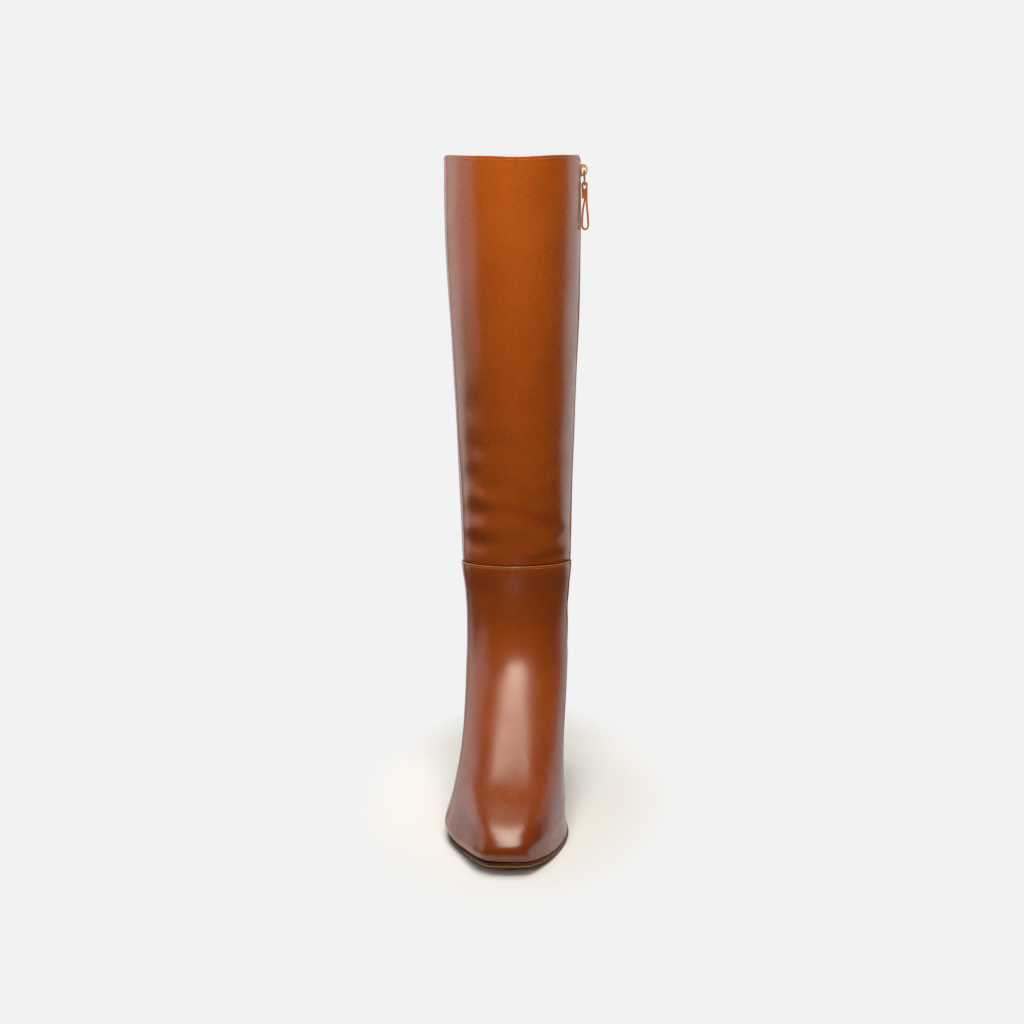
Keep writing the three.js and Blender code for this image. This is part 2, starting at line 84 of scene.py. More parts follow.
SLOT_HALF = 4.5
ZIP_BOTTOM = 43
ZIP_Y_COLLAR = -21
ZIP_Y_BOTTOM = -27
CORNER_DROP = 4
CORNER_REACH = 15
SLIDER_LENGTH = 9.5
SLIDER_Z = COLLAR_Z - CORNER_DROP - NODE_GAP - SLIDER_LENGTH
SIDE_SEAM = math.radians(-66)

# Outsole outline: y, x of the inner edge, x of the outer edge.
OUTLINE = np.array([
    (TOE_TIP, 3, 3),
    (-211.6, 15.4, -9.6),
    (-205, 20.3, -15.2),
    (-194, 25.9, -20.9),
    (-182, 30.5, -26.3),
    (-166, 34.9, -33.8),
    (-150, 38, -39.6),
    (-134, 38.9, -42),
    (-115, 36.5, -41.6),
    (-90, 29.5, -37.5),
    (-62, 25, -31.5),
    (-30, 26.5, -28.5),
    (-2, 28, -28),
    (16, 24, -24),
    (28, 13, -13),
    (HEEL_BACK, 0, 0),
])

# Sections of the leather, from the feather edge to the collar.
COLUMNS = ("front", "frontZ", "back", "backZ", "fit", "shift", "oval", "half", "dip", "blunt")
SECTIONS = np.array([
    (-213.6, 10, 31.5, 25.5, 0.985, 0, 0, 36, 1, 0.6),
    (-215.3, 14.5, 34, 35, 1.015, -1.9, 0.1, 36.4, 0.95, 0.6),
    (-212.6, 20.5, 35.5, 48, 0.985, -0.6, 0.25, 36, 0.75, 0.6),
    (-203.5, 27.5, 34.5, 60, 0.955, 0, 0.45, 35.8, 0.5, 0.6),
    (-184, 35, 32.5, 72, 0.935, 0.2, 0.72, 35.6, 0.3, 0.62),
    (-156, 45, 30, 84, 0.92, 0.3, 0.9, 35.5, 0.15, 0.7),
    (-126, 61, 27.5, 95, 1, 0.3, 1, 35.7, 0, 0.8),
    (-98, 80, 25.5, 105, 1, 0.3, 1, 36, 0, 0.9),
    (-78, 99, 24.3, 114, 1, 0.1, 1, 36, 0, 0.97),
    (-68.5, 122, 24, 125, 1, -0.2, 1, 36, 0, 1),
    (-68, 146, 26, 142, 1, -0.2, 1, 36.9, 0, 1),
    (-71.5, 169.4, 29, 157.4, 1, -0.3, 1, 38, 0, 1),
    (-76, 206, 35, 200, 1, 0, 1, 39.3, 0, 1),
    (-80, 244, 41.5, 241, 1, 0, 1, 40.9, 0, 1),
    (-83.5, 280, 46, 279, 1, 0, 1, 42.5, 0, 1),
    (-86, 314, 48.5, 314, 1, 0, 1, 44.1, 0, 1),
    (-87.5, 349, 49, 349, 1, -0.1, 1, 45.6, 0, 1),
    (-88.3, 384, 48, 384, 1, -0.1, 1, 46.4, 0, 1),
    (-88.6, 416, 47, 416, 1, 0, 1, 46.8, 0, 1),
    (-88.8, 446.3, 46, 446.3, 1, 0, 1, 46.6, 0, 1),
])
SEAM = 11
COLLAR = len(SECTIONS) - 1
CREST_ROUNDING = 0.15
# About how many millimetres of leather one row of SECTIONS spans: under the seam, over it, at the collar.
LAP_ROW = 20
SEAM_ROW = 38
COLLAR_ROW = 30.3


def lerp(a, b, t):
    return a + (b - a) * t


def smooth(t):
    t = np.clip(t, 0, 1)
    return t * t * (3 - 2 * t)


def unit(v):
    return v / np.maximum(np.linalg.norm(v, axis=-1, keepdims=True), 1e-12)


def running_length(path):
    steps = np.linalg.norm(np.diff(path, axis=0), axis=1)
    return np.concatenate([[0], np.cumsum(steps)])


def at_lengths(places, run, path):
    """The path's values at those running lengths."""
    return np.stack([np.interp(places, run, path[:, k]) for k in range(path.shape[1])], axis=-1)


def even_turns(count):
    return np.arange(count) * 2 * math.pi / count


# ---- the sole's curves ----

def sole_bottom(y):
    y = np.asarray(y, float)
    toe = TOE_SPRING * (np.clip(TREAD_FRONT - y, 0, None) / (TREAD_FRONT - TOE_TIP)) ** 2
    arch = HEEL_HEIGHT * smooth((y - TREAD_BACK) / (HEEL_BREAST - TREAD_BACK))
    return np.where(y < TREAD_FRONT, toe, arch)


def sole_top(y):
    return sole_bottom(y) + SOLE_THICKNESS


def closed_curve(points, samples):
    """Centripetal Catmull-Rom curve through a closed ring of points."""
    count = len(points)
    place = np.arange(samples) / samples * count
    i = np.floor(place).astype(int)
    w = (place - i)[:, None]
    p0, p1, p2, p3 = (points[(i + k) % count] for k in (-1, 0, 1, 2))
    pairs = ((p0, p1), (p1, p2), (p2, p3))
    d0, d1, d2 = (np.linalg.norm(b - a, axis=1, keepdims=True) ** 0.5 for a, b in pairs)
    t1 = ((p1 - p0) / d0 - (p2 - p0) / (d0 + d1) + (p2 - p1) / d1) * d1
    t2 = ((p2 - p1) / d1 - (p3 - p1) / (d1 + d2) + (p3 - p2) / d2) * d1
    return p1 + t1 * w + (3 * (p2 - p1) - 2 * t1 - t2) * w ** 2 + (2 * (p1 - p2) + t1 + t2) * w ** 3


OUTLINE_POINTS = 2400


def split_outline():
    inner = OUTLINE[:, [1, 0]]
    outer = OUTLINE[1:-1][::-1][:, [2, 0]]
    ring = closed_curve(np.concatenate([inner, outer]), OUTLINE_POINTS)
    heel = int(np.argmax(ring[:, 1]))
    return ring[: heel + 1], np.concatenate([ring[heel:], ring[:1]])[::-1]


INNER_HALF, OUTER_HALF = split_outline()


def outline_x(y, side):
    inner = np.interp(y, INNER_HALF[:, 1], INNER_HALF[:, 0])
    outer = np.interp(y, OUTER_HALF[:, 1], OUTER_HALF[:, 0])
    return np.where(np.asarray(side) >= 0, inner, outer)


# ---- the boot's skin ----

def column(name, level):
    """A table column at any level, by a cubic through the rows."""
    values = SECTIONS[:, COLUMNS.index(name)]
    last = len(values) - 1
    i = np.clip(np.floor(level).astype(int), 0, last - 1)
    t = level - i
    p1, p2 = values[i], values[i + 1]
    m1 = np.where(i > 0, (p2 - values[np.maximum(i - 1, 0)]) / 2, p2 - p1)
    m2 = np.where(i + 2 <= last, (values[np.minimum(i + 2, last)] - p1) / 2, p2 - p1)
    return (((2 * p1 - 2 * p2 + m1 + m2) * t + (3 * p2 - 3 * p1 - 2 * m1 - m2)) * t + m1) * t + p1


def bulge(angle, blunt):
    """The sine of the angle, made blunter over the front half by a power under 1."""
    sine = np.sin(angle)
    power = (blunt - 1) * smooth(np.cos(angle) + 0.5)
    return sine * ((sine ** 2 + CREST_ROUNDING ** 2) / (1 + CREST_ROUNDING ** 2)) ** (power / 2)


def skin(angle, level):
    """angle: 0 at the toe, +-pi at the heel, positive on the inner side. level: a place in SECTIONS."""
    angle, level = np.broadcast_arrays(np.asarray(angle, float), np.asarray(level, float))
    share = (1 - np.cos(angle)) / 2
    y = lerp(column("front", level), column("back", level), share)
    station = lerp(TOE_TIP, HEEL_BACK, share)
    foot = outline_x(station, np.sin(angle)) * column("fit", level)
    oval = column("half", level) * bulge(angle, column("blunt", level))
    sag = (lerp(sole_top(TOE_TIP), sole_top(HEEL_BACK), share) - sole_top(station)) * column("dip", level)
    z = lerp(column("frontZ", level), column("backZ", level), share) - sag
    x = lerp(foot, oval, column("oval", level)) + column("shift", level)
    return np.stack([x, y, z], axis=-1)


class Place:
    """Points of the skin with their unit vectors: up along it, across it and out of it."""

    TURN = 0.01
    RISE = 0.02

    def __init__(self, angle, level):
        level = np.asarray(level, float)
        low, high = np.maximum(0, level - self.RISE), level + self.RISE
        climb = skin(angle, high) - skin(angle, low)
        turn = skin(angle + self.TURN, level) - skin(angle - self.TURN, level)
        self.point = skin(angle, level)
        self.up = unit(climb)
        self.out = unit(np.cross(turn, self.up))
        self.across = unit(np.cross(self.up, self.out))
        self.pace = np.linalg.norm(turn, axis=-1) / (2 * self.TURN)
        self.climb = np.linalg.norm(climb, axis=-1) / (high - low)


def zip_angle(level):
    """The angle at which a level crosses the zip's line."""
    level = np.asarray(level, float)
    front, back = column("front", level), column("back", level)
    angle = np.full(level.shape, math.pi / 2)
    for _ in range(8):
        z = skin(angle, level)[..., 2]
        y = lerp(ZIP_Y_BOTTOM, ZIP_Y_COLLAR, (z - ZIP_BOTTOM) / (COLLAR_Z - ZIP_BOTTOM))
        angle = np.arccos(1 - 2 * (y - front) / (back - front))
    return angle


FINE_LEVELS = np.linspace(0, COLLAR, 2001)
ZIP_HEIGHTS = skin(zip_angle(FINE_LEVELS), FINE_LEVELS)[:, 2]


def zip_level(z):
    return np.interp(z, ZIP_HEIGHTS, FINE_LEVELS)


# ---- relief: what the leather does off the plain skin ----

# Creases: angle and height of the middle, half length (degrees), tilt (mm over that), depth, half width.
SHAFT_CREASES = (
    (30, 172.5, 46, 1.5, 0.3, 3.0),
    (24, 178.5, 40, 2.0, -0.25, 4.0),
    (-48, 183, 36, -2.0, 0.62, 5.0),
    (-40, 194, 30, 2.0, -0.4, 5.0),
    (-42, 206, 30, 3.0, 0.5, 5.0),
    (-36, 217, 28, -2.5, -0.4, 5.0),
    (-44, 231, 28, 3.5, 0.5, 6.0),
    (-36, 252, 26, -4.0, 0.4, 7.0),
    (-42, 280, 24, 5.0, 0.4, 9.0),
    (64, 187, 24, 3.0, 0.65, 4.5),
    (36, 196, 28, -3.0, 0.5, 5.5),
    (-20, 186, 30, 2.0, 0.3, 4.0),
    (2, 206, 34, -4.0, 0.28, 4.5),
    (-30, 222, 28, 5.0, 0.25, 5.0),
    (40, 236, 26, 6.0, 0.22, 5.0),
    (-8, 256, 30, -7.0, 0.2, 6.0),
    (118, 178, 30, 2.0, 0.6, 4.0),
    (150, 186, 34, -3.0, 0.8, 5.0),
    (176, 174, 38, 2.0, 0.7, 4.5),
    (190, 199, 40, 3.0, 0.7, 6.5),
    (214, 181, 30, -3.0, 0.8, 5.0),
    (246, 192, 28, 3.0, 0.6, 5.5),
    (250, 174, 26, 0.0, 0.5, 4.0),
    (160, 222, 36, 5.0, 0.4, 7.0),
    (205, 244, 34, -6.0, 0.35, 8.0),
)
FOOT_CREASES = (
    (170, 128, 46, 2.0, 0.9, 6.5),
    (196, 139, 40, -3.0, 0.7, 5.5),
    (150, 115, 34, 5.0, 0.5, 5.5),
    (214, 118, 34, -5.0, 0.5, 5.5),
    (98, 132, 22, 6.0, 0.35, 6.0),
    (262, 134, 22, -6.0, 0.35, 6.0),
)


def crease(angle, z, middle, height, length, tilt, depth, width):
    """A soft trough with a low ridge on either side; a negative depth is a ridge."""
    turn = np.degrees(angle) - middle
    along = (np.mod(turn + 180, 360) - 180) / length
    off = (z - height - tilt * along) / width
    fade = np.clip(1 - along ** 2, 0, 1) ** 2
    return -depth * fade * (np.exp(-off ** 2) - 0.35 * np.exp(-(np.abs(off) - 2) ** 2))


def undulation(angle, z):
    """Slow hand-lasted unevenness, tenths of a millimetre."""
    return (
        0.30 * np.sin(2 * angle + z / 41 + 0.6)
        + 0.24 * np.sin(3 * angle - z / 27 + 2.1)
        + 0.10 * np.sin(5 * angle + z / 17 + 4.0)
        + 0.07 * np.sin(7 * angle - z / 11 + 1.2)
    )


def side_seam_relief(angle, pace):
    """The closed seam on the outer side: a fine groove between two low swells."""
    off = np.abs((np.mod(angle - SIDE_SEAM + math.pi, 2 * math.pi) - math.pi) * pace)
    return 0.28 * np.exp(-((off - 1.5) / 1.2) ** 2) - 0.5 * np.exp(-(off / 0.32) ** 2)


def shaft_relief(angle, place):
    z = place.point[..., 2]
    made = undulation(angle, z) + side_seam_relief(angle, place.pace)
    for row in SHAFT_CREASES:
        made = made + crease(angle, z, *row)
    return made


def foot_relief(angle, place):
    z = place.point[..., 2]
    made = undulation(angle, z) * 0.6 * smooth((z - 30) / 60) + side_seam_relief(angle, place.pace)
    for row in FOOT_CREASES:
        made = made + crease(angle, z, *row)
    return made


def lap(level):
    """How far the foot part stands off the skin where it laps over the shaft."""
    return LAP_STEP * smooth(1 - (SEAM - level) / LAP_FADE)


# ---- mesh helpers ----

def piece(name, points, faces, materials, body="boot", face_slots=None, crisp=35):
    """A mesh object from points in millimetres. face_slots gives each face's material."""
    mesh = bpy.data.meshes.new(name)
    used = np.unique(np.concatenate([np.asarray(f).ravel() for f in faces]))
    remap = np.zeros(len(points), int)
    remap[used] = np.arange(len(used))
    flat = [tuple(remap[list(face)]) for group in faces for face in group]
    mesh.from_pydata((np.asarray(points)[used] * MM).tolist(), [], [tuple(int(i) for i in f) for f in flat])
    for material in materials:
        mesh.materials.append(material)
    if face_slots is not None:
        mesh.polygons.foreach_set("material_index", np.concatenate(face_slots).astype(np.int32))
    mesh.validate()
    mesh.shade_smooth()
    mesh.set_sharp_from_angle(angle=math.radians(crisp))
    made = bpy.data.objects.new(name, mesh)
    bpy.context.scene.collection.objects.link(made)
    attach(made, body)
    return made


def grid_quads(index):
    a, b, c, d = index[:-1, :-1], index[:-1, 1:], index[1:, 1:], index[1:, :-1]
    return np.stack([a, b, c, d], axis=-1).reshape(-1, 4)


def sweep(sections, ends=True):
    """Faces of a tube whose sections are rings of equal length: its sides and its two ends. Without ends,
    its last section joins its first."""
    rows, count = sections.shape[:2]
    index = np.arange(rows * count).reshape(rows, count)
    around = np.concatenate([index, index[:, :1]], axis=1)
    if not ends:
        return [grid_quads(np.concatenate([around, around[:1]]))]
    return [grid_quads(around), index[0][::-1][None], index[-1][None]]


def shell(name, outer, inner, open_row, materials, shadow_rows=0):
    """A closed leather shell between two grids. open_row: the first row whose two end columns are apart;
    shadow_rows: how many of the lowest bands are painted dark, as a painted shadow line."""
    rows, cols = outer.shape[:2]
    index = np.arange(rows * cols).reshape(rows, cols)
    index[:open_row, -1] = index[:open_row, 0]
    back = index + rows * cols
    faces = [grid_quads(index), grid_quads(back)[:, ::-1]]
    rim = [
        np.stack([back[0, :-1], back[0, 1:], index[0, 1:], index[0, :-1]], axis=-1),
        np.stack([index[-1, :-1], index[-1, 1:], back[-1, 1:], back[-1, :-1]], axis=-1),
    ]
    first = max(open_row - 1, 0)
    low, high = slice(first, rows - 1), slice(first + 1, rows)
    rim.append(np.stack([index[low, 0], index[high, 0], back[high, 0], back[low, 0]], axis=-1))
    rim.append(np.stack([back[low, -1], back[high, -1], index[high, -1], index[low, -1]], axis=-1))
    faces += rim
    slots = [np.zeros(len(faces[0])), np.full(len(faces[1]), 2)] + [np.ones(len(f)) for f in rim]
    # Painted shadow: the lowest bands take the fourth material, a dark shadow line at the lap's edge.
    slots[0][: shadow_rows * (cols - 1)] = 3
    points = np.concatenate([outer.reshape(-1, 3), inner.reshape(-1, 3)])
    return piece(name, points, faces, materials, face_slots=slots)


def spread(total, spacing, near_start, near_end):
    """Distances from 0 to total: the given ones near each end, and even steps between."""
    start, end = near_start[-1], total - near_end[-1]
    steps = max(2, round((end - start) / spacing))
    even = np.linspace(start, end, steps + 1)
    return np.concatenate([near_start[:-1], even, total - np.array(near_end[:-1])[::-1]])


def level_rows(start, end, spacing, near_start, near_end):
    """Levels whose rows are about that far apart, measured along the front, side and back."""
    fine = np.linspace(start, end, 800)
    steps = [np.linalg.norm(np.diff(skin(a, fine), axis=0), axis=1) for a in (0, 1.3, math.pi)]
    length = np.concatenate([[0], np.cumsum(np.mean(steps, axis=0))])
    return np.interp(spread(length[-1], spacing, near_start, near_end), length, fine)


SLOT_NEAR = (0, 0.08, 0.2, 0.4, 0.9, 1.8)
SEAM_NEAR = (0, 0.2, 0.45, 0.8, 1.4, 2.2, 3.2)


def slot_half(level):
    """Half width of the zip's slot, with a round lower end."""
    z = skin(zip_angle(level), level)[..., 2]
    t = np.clip((z - ZIP_BOTTOM) / SLOT_HALF, 0, 1)
    return SLOT_HALF * np.sqrt(1 - (1 - t) ** 2)


def column_angles(levels, half, steps):
    """Angles of a row from the slot's back edge round the heel and toe to its front edge, and how far
    each is from the slot's edge in millimetres."""
    zips = zip_angle(levels)
    pace = Place(zips, levels).pace
    seam_pace = Place(np.full(levels.shape, SIDE_SEAM), levels).pace
    start, end = zips + half / pace, zips + 2 * math.pi - half / pace
    middle = SIDE_SEAM + 2 * math.pi
    back, front = steps
    slot, seam = np.array(SLOT_NEAR), np.array(SEAM_NEAR)
    rows = []
    for a, b, p, q in zip(start, end, pace, seam_pace):
        rest = lerp(a + slot[-1] / p, middle - seam[-1] / q, np.arange(1, back) / back)
        first = [a + slot / p, rest, middle - seam[::-1] / q]
        rest = lerp(middle + seam[-1] / q, b - slot[-1] / p, np.arange(1, front) / front)
        second = [middle + seam[1:] / q, rest, b - slot[::-1] / p]
        rows.append(np.concatenate(first + second))
    angles = np.array(rows)
    gap = np.minimum(angles - start[:, None], end[:, None] - angles) * pace[:, None]
    return angles, gap


def round_off(distance, radius=EDGE_ROUND):
    """How far an edge falls away within its rounding."""
    t = np.clip(distance / radius, 0, 1)
    return -radius * (1 - np.sqrt(np.clip(1 - (1 - t) ** 2, 0, 1)))


BACK_DROP = 3.2
FRONT_RISE = 1.8
OUTER_RISE = 0.5
MEAN_DROP = 0.35


def collar_levels(levels, angles, gap):
    """Rows near the collar follow its rounded corners at the zip and its edge, which is a little uneven,
    higher in front and lower behind."""
    base = COLLAR - 0.6
    fall = CORNER_DROP * np.clip(1 - gap / CORNER_REACH, 0, 1) ** 2.4
    wave = 0.3 * np.sin(3 * angles + 1) + 0.15 * np.sin(7 * angles)
    wave = wave + OUTER_RISE * np.minimum(np.sin(angles), 0)
    wave = wave + BACK_DROP * smooth(-np.cos(angles)) - FRONT_RISE * smooth(np.cos(angles) + 0.35)
    top = COLLAR - (fall + MEAN_DROP + wave * np.clip(gap / 10, 0, 1)) / COLLAR_ROW
    share = np.clip((levels[:, None] - base) / (COLLAR - base), 0, 1)
    return np.where(share > 0, base + share * (top - base), levels[:, None] + 0 * angles)


# ---- materials ----

class Shade:
    """A node material with one Principled shader."""

    def __init__(self, name, roughness=0.5, metallic=0.0, **sockets):
        self.material = bpy.data.materials.new(name)
        self.material.use_nodes = True
        self.tree = self.material.node_tree
        self.shader = self.tree.nodes["Principled BSDF"]
        self.shader.inputs["Roughness"].default_value = roughness
        self.shader.inputs["Metallic"].default_value = metallic
        for socket, value in sockets.items():
            self.shader.inputs[socket.replace("_", " ")].default_value = value
        self.place = self.tree.nodes.new("ShaderNodeTexCoord").outputs["Object"]

    def node(self, kind, inputs=None, **settings):
        made = self.tree.nodes.new("ShaderNode" + kind)
        for key, value in settings.items():
            setattr(made, key, value)
        for key, value in (inputs or {}).items():
            if isinstance(value, bpy.types.NodeSocket):
                self.tree.links.new(value, made.inputs[key])
            else:
                made.inputs[key].default_value = value
        return made

    def noise(self, scale, detail=3.0, stretch=None):
        vector = self.place
        if stretch:
            vector = self.node("Mapping", {"Vector": self.place, "Scale": stretch}).outputs["Vector"]
        inputs = {"Vector": vector, "Scale": scale, "Detail": detail, "Roughness": 0.55}
        return self.node("TexNoise", inputs).outputs["Fac"]

    def cells(self, scale, feature="F1"):
        inputs = {"Vector": self.place, "Scale": scale}
        return self.node("TexVoronoi", inputs, feature=feature).outputs["Distance"]

    def wave(self, scale, direction):
        inputs = {"Vector": self.place, "Scale": scale}
        return self.node("TexWave", inputs, bands_direction=direction).outputs["Fac"]

    def math(self, operation, a, b):
        return self.node("Math", {0: a, 1: b}, operation=operation).outputs[0]

    def tinted(self, a, b):
        """Two colours multiplied; 6 and 7 are the node's colour inputs and 2 its colour output."""
        inputs = {0: 1.0, 6: a, 7: b}
        return self.node("Mix", inputs, data_type="RGBA", blend_type="MULTIPLY").outputs[2]

    def vector(self, operation, a, b=(0, 0, 0)):
        made = self.node("VectorMath", {0: a, 1: b}, operation=operation)
        return made.outputs["Value" if operation == "LENGTH" else "Vector"]

    def ramp(self, value, *stops):
        """A colour ramp; each stop is (place, colour)."""
        made = self.node("ValToRGB", {"Fac": value})
        points = made.color_ramp.elements
        while len(points) < len(stops):
            points.new(0.5)
        for point, (where, colour) in zip(points, stops):
            point.position = where
            point.color = (*colour, 1)
        return made.outputs["Color"]

    def span(self, value, from_min, from_max, to_min, to_max):
        ends = {"From Min": from_min, "From Max": from_max, "To Min": to_min, "To Max": to_max}
        return self.node("MapRange", {"Value": value, **ends}).outputs["Result"]

    def height(self):
        """Height above the floor in metres."""
        return self.node("SeparateXYZ", {"Vector": self.place}).outputs["Z"]

    def bump(self, value, distance, strength=1.0, over=None):
        inputs = {"Height": value, "Distance": distance, "Strength": strength}
        if over is not None:
            inputs["Normal"] = over
        return self.node("Bump", inputs).outputs["Normal"]

    def done(self, colour=None, roughness=None, normal=None):
        for key, socket in (("Base Color", colour), ("Roughness", roughness), ("Normal", normal)):
            if socket is not None:
                self.tree.links.new(socket, self.shader.inputs[key])
        return self.material

    def surfaced(self, socket):
        self.tree.links.new(socket, self.tree.nodes["Material Output"].inputs["Surface"])
        return self.material


def calf_leather():
    """Polished tan calf: cloudy dye, darker towards the sole through a height ramp of painted shade, with
    pores, grain and fine pulls.
    """
    shade = Shade("calf_leather", Specular_IOR_Level=0.8)
    mottled_colour = shade.ramp(shade.noise(14, detail=4), (0.3, (0.49, 0.096, 0.0065)), (0.7, (0.60, 0.126, 0.009)))
    speck = shade.span(shade.noise(420), 0.35, 0.65, 0.94, 1.05)
    # Painted shade: high and depth darken the colour towards the floor, standing in for the light that falls
    # off low down.
    high = shade.span(shade.height(), 0.03, 0.45, 0.0, 1.0)
    depth = shade.ramp(
        high,
        (0.0, (0.45, 0.38, 0.27)),
        (0.15, (0.58, 0.5, 0.37)),
        (0.33, (0.98, 0.89, 0.69)),
        (1.0, (1.0, 1.0, 1.0)),
    )
    grey = shade.node("CombineColor", {0: speck, 1: speck, 2: speck}).outputs[0]
    dye_with_painted_shade = shade.tinted(shade.tinted(mottled_colour, grey), depth)
    normal = shade.bump(shade.cells(1500), 0.00008, 0.25)
    normal = shade.bump(shade.cells(900, feature="SMOOTH_F1"), 0.00014, 0.28, over=normal)
    normal = shade.bump(shade.noise(110, detail=4, stretch=(0.7, 0.7, 2.8)), 0.00035, 0.12, over=normal)
    rough = shade.span(shade.noise(60, detail=4), 0.3, 0.7, 0.24, 0.31)
    rough = shade.math("ADD", rough, shade.span(shade.height(), 0.035, 0.07, 0.0, 0.06))
    rough = shade.math("SUBTRACT", rough, shade.span(shade.height(), 0.1, 0.2, 0.0, 0.06))
    return shade.done(dye_with_painted_shade, rough, normal)


def fibrous(name, scale, detail, stretch, dark, pale, bump, rough=None, stops=(0.3, 0.7), **sockets):
    """One noise gives the colour, the bump (distance and strength) and, between two values, the roughness."""
    shade = Shade(name, **sockets)
    fibre = shade.noise(scale, detail, stretch)
    colour = shade.ramp(fibre, (stops[0], dark), (stops[1], pale))
    roughness = shade.span(fibre, 0.3, 0.7, *rough) if rough else None
    return shade.done(colour, roughness, shade.bump(fibre, *bump))


def clouded(name, cloud, fibre, dark, pale, bump, rough, top_stop=0.7, **sockets):
    """A cloud gives the colour, and a finer fibre the bump and roughness; each is a noise's settings."""
    shade = Shade(name, **sockets)
    fine = shade.noise(*fibre)
    colour = shade.ramp(shade.noise(*cloud), (0.3, dark), (top_stop, pale))
    return shade.done(colour, shade.span(fine, 0.3, 0.7, *rough), shade.bump(fine, *bump))


# Painted shadow: a near-black line painted on the shaft's lowest bands, under and just at the lap's edge,
# where the step between the parts lies in shade.
def painted_seam_shadow():
    shade = Shade("painted_shadow_line")
    mottled_colour = shade.ramp(shade.noise(300), (0.3, (0.035, 0.009, 0.003)), (0.7, (0.07, 0.018, 0.006)))
    return shade.done(mottled_colour)


def flesh_side(name, dark, pale):
    shade = Shade(name, Sheen_Weight=0.15)
    fibre = shade.noise(900, detail=4)
    normal = shade.bump(shade.cells(1100), 0.00006, 0.35)
    normal = shade.bump(fibre, 0.00008, 0.3, over=normal)
    colour = shade.ramp(shade.noise(22, detail=4), (0.3, dark), (0.7, pale))
    return shade.done(colour, shade.span(fibre, 0.3, 0.7, 0.5, 0.66), normal)


def woven(name, texture, dark, pale, stops, bump, **sockets):
    """Colour and bump from a pattern of waves, which texture makes from the shade."""
    shade = Shade(name, Sheen_Weight=0.2, **sockets)
    pattern = texture(shade)
    colour = shade.ramp(pattern, (stops[0], dark), (stops[1], pale))
    return shade.done(colour, normal=shade.bump(pattern, *bump))


def ribbed(shade):
    return shade.math("MULTIPLY", shade.wave(620, "Z"), shade.wave(900, "DIAGONAL"))


def gold(name, dark, pale, rough, metallic):
    shade = Shade(name, metallic=metallic)
    patina = shade.noise(260, detail=4)
    scratches = shade.noise(900, detail=2, stretch=(0.2, 1, 1))
    colour = shade.ramp(patina, (0.3, dark), (0.65, pale))
    return shade.done(colour, shade.span(patina, 0.3, 0.7, *rough), shade.bump(scratches, 0.00003, 0.25))


def strap_leather():
    shade = Shade("strap_leather", Coat_Weight=0.1, Coat_Roughness=0.3)
    cloud = shade.noise(180, detail=4)
    colour = shade.ramp(cloud, (0.3, (0.5, 0.125, 0.035)), (0.7, (0.68, 0.2, 0.062)))
    normal = shade.bump(shade.cells(2200), 0.00006, 0.35)
    return shade.done(colour, shade.span(cloud, 0.3, 0.7, 0.4, 0.52), normal)


CALF = calf_leather()
EDGE = fibrous(
    "cut_edge", 700, 4, (1, 1, 3), (0.40, 0.14, 0.04), (0.56, 0.24, 0.09), (0.0001, 0.5),
    roughness=0.8, Specular_IOR_Level=0.15,
)
FLESH = flesh_side("flesh_side", (0.3, 0.14, 0.06), (0.42, 0.22, 0.1))
LINING_LEATHER = flesh_side("lining_leather", (0.36, 0.2, 0.1), (0.52, 0.31, 0.165))
SOLE_EDGE = fibrous(
    "sole_edge", 320, 4, (0.12, 0.12, 6), (0.065, 0.016, 0.004), (0.14, 0.036, 0.008), (0.00012, 0.35),
    rough=(0.3, 0.5), stops=(0.3, 0.72), Specular_IOR_Level=0.15,
)
SOLE_BASE = clouded(
    "sole_base", (30, 5), (520, 4, (2.2, 0.7, 1)), (0.35, 0.165, 0.07), (0.47, 0.25, 0.115), (0.0001, 0.3),
    (0.42, 0.6), top_stop=0.72,
)
SOLE_LINE = fibrous("sole_line", 600, 3, None, (0.34, 0.15, 0.06), (0.5, 0.25, 0.11), (0.00008, 0.3))
HEEL_STACK = fibrous(
    "heel_stack", 260, 4, (0.15, 0.15, 4), (0.075, 0.022, 0.008), (0.19, 0.066, 0.022), (0.00012, 0.3),
    rough=(0.28, 0.45), stops=(0.28, 0.72), Coat_Weight=0.25, Coat_Roughness=0.25,
)
HEEL_RUBBER = clouded(
    "heel_rubber", (40,), (700, 4), (0.02, 0.012, 0.009), (0.045, 0.028, 0.02), (0.0001, 0.4), (0.6, 0.85)
)
THREAD = woven(
    "thread", lambda shade: shade.wave(1500, "DIAGONAL"), (0.55, 0.25, 0.09), (0.8, 0.45, 0.2), (0.2, 0.8),
    (0.0001, 0.4), roughness=0.55,
)
ZIP_CLOTH = woven(
    "zip_cloth", ribbed, (0.1, 0.03, 0.012), (0.24, 0.075, 0.026), (0.1, 0.8), (0.00025, 0.6), roughness=0.8
)
GOLD = gold("zip_gold", (0.85, 0.58, 0.24), (1.0, 0.8, 0.45), (0.2, 0.36), 0.4)
OLD_GOLD = gold("link_gold", (0.36, 0.23, 0.09), (0.6, 0.42, 0.2), (0.25, 0.45), 0.4)
STRAP = strap_leather()
# The fourth slot is the painted shadow line.
LEATHER_SLOTS = (CALF, EDGE, FLESH, painted_seam_shadow())


# ---- leather shells ----

def offset_grid(angles, levels, offset):
    place = Place(angles, levels)
    return place.point + place.out * offset(place)[..., None]


def stitch_bed(from_top, down):
    """The shallow trough that a row of stitches pulls into the leather."""
    return -0.12 * np.exp(-((from_top - down) / 0.5) ** 2)


FEATHER_TUCK = ((1.9, 0.55), (1.1, 0.3), (0.4, 0.08))
EDGE_ROWS = (0, 0.08, 0.2, 0.4, 0.9, 1.5, 2.2)


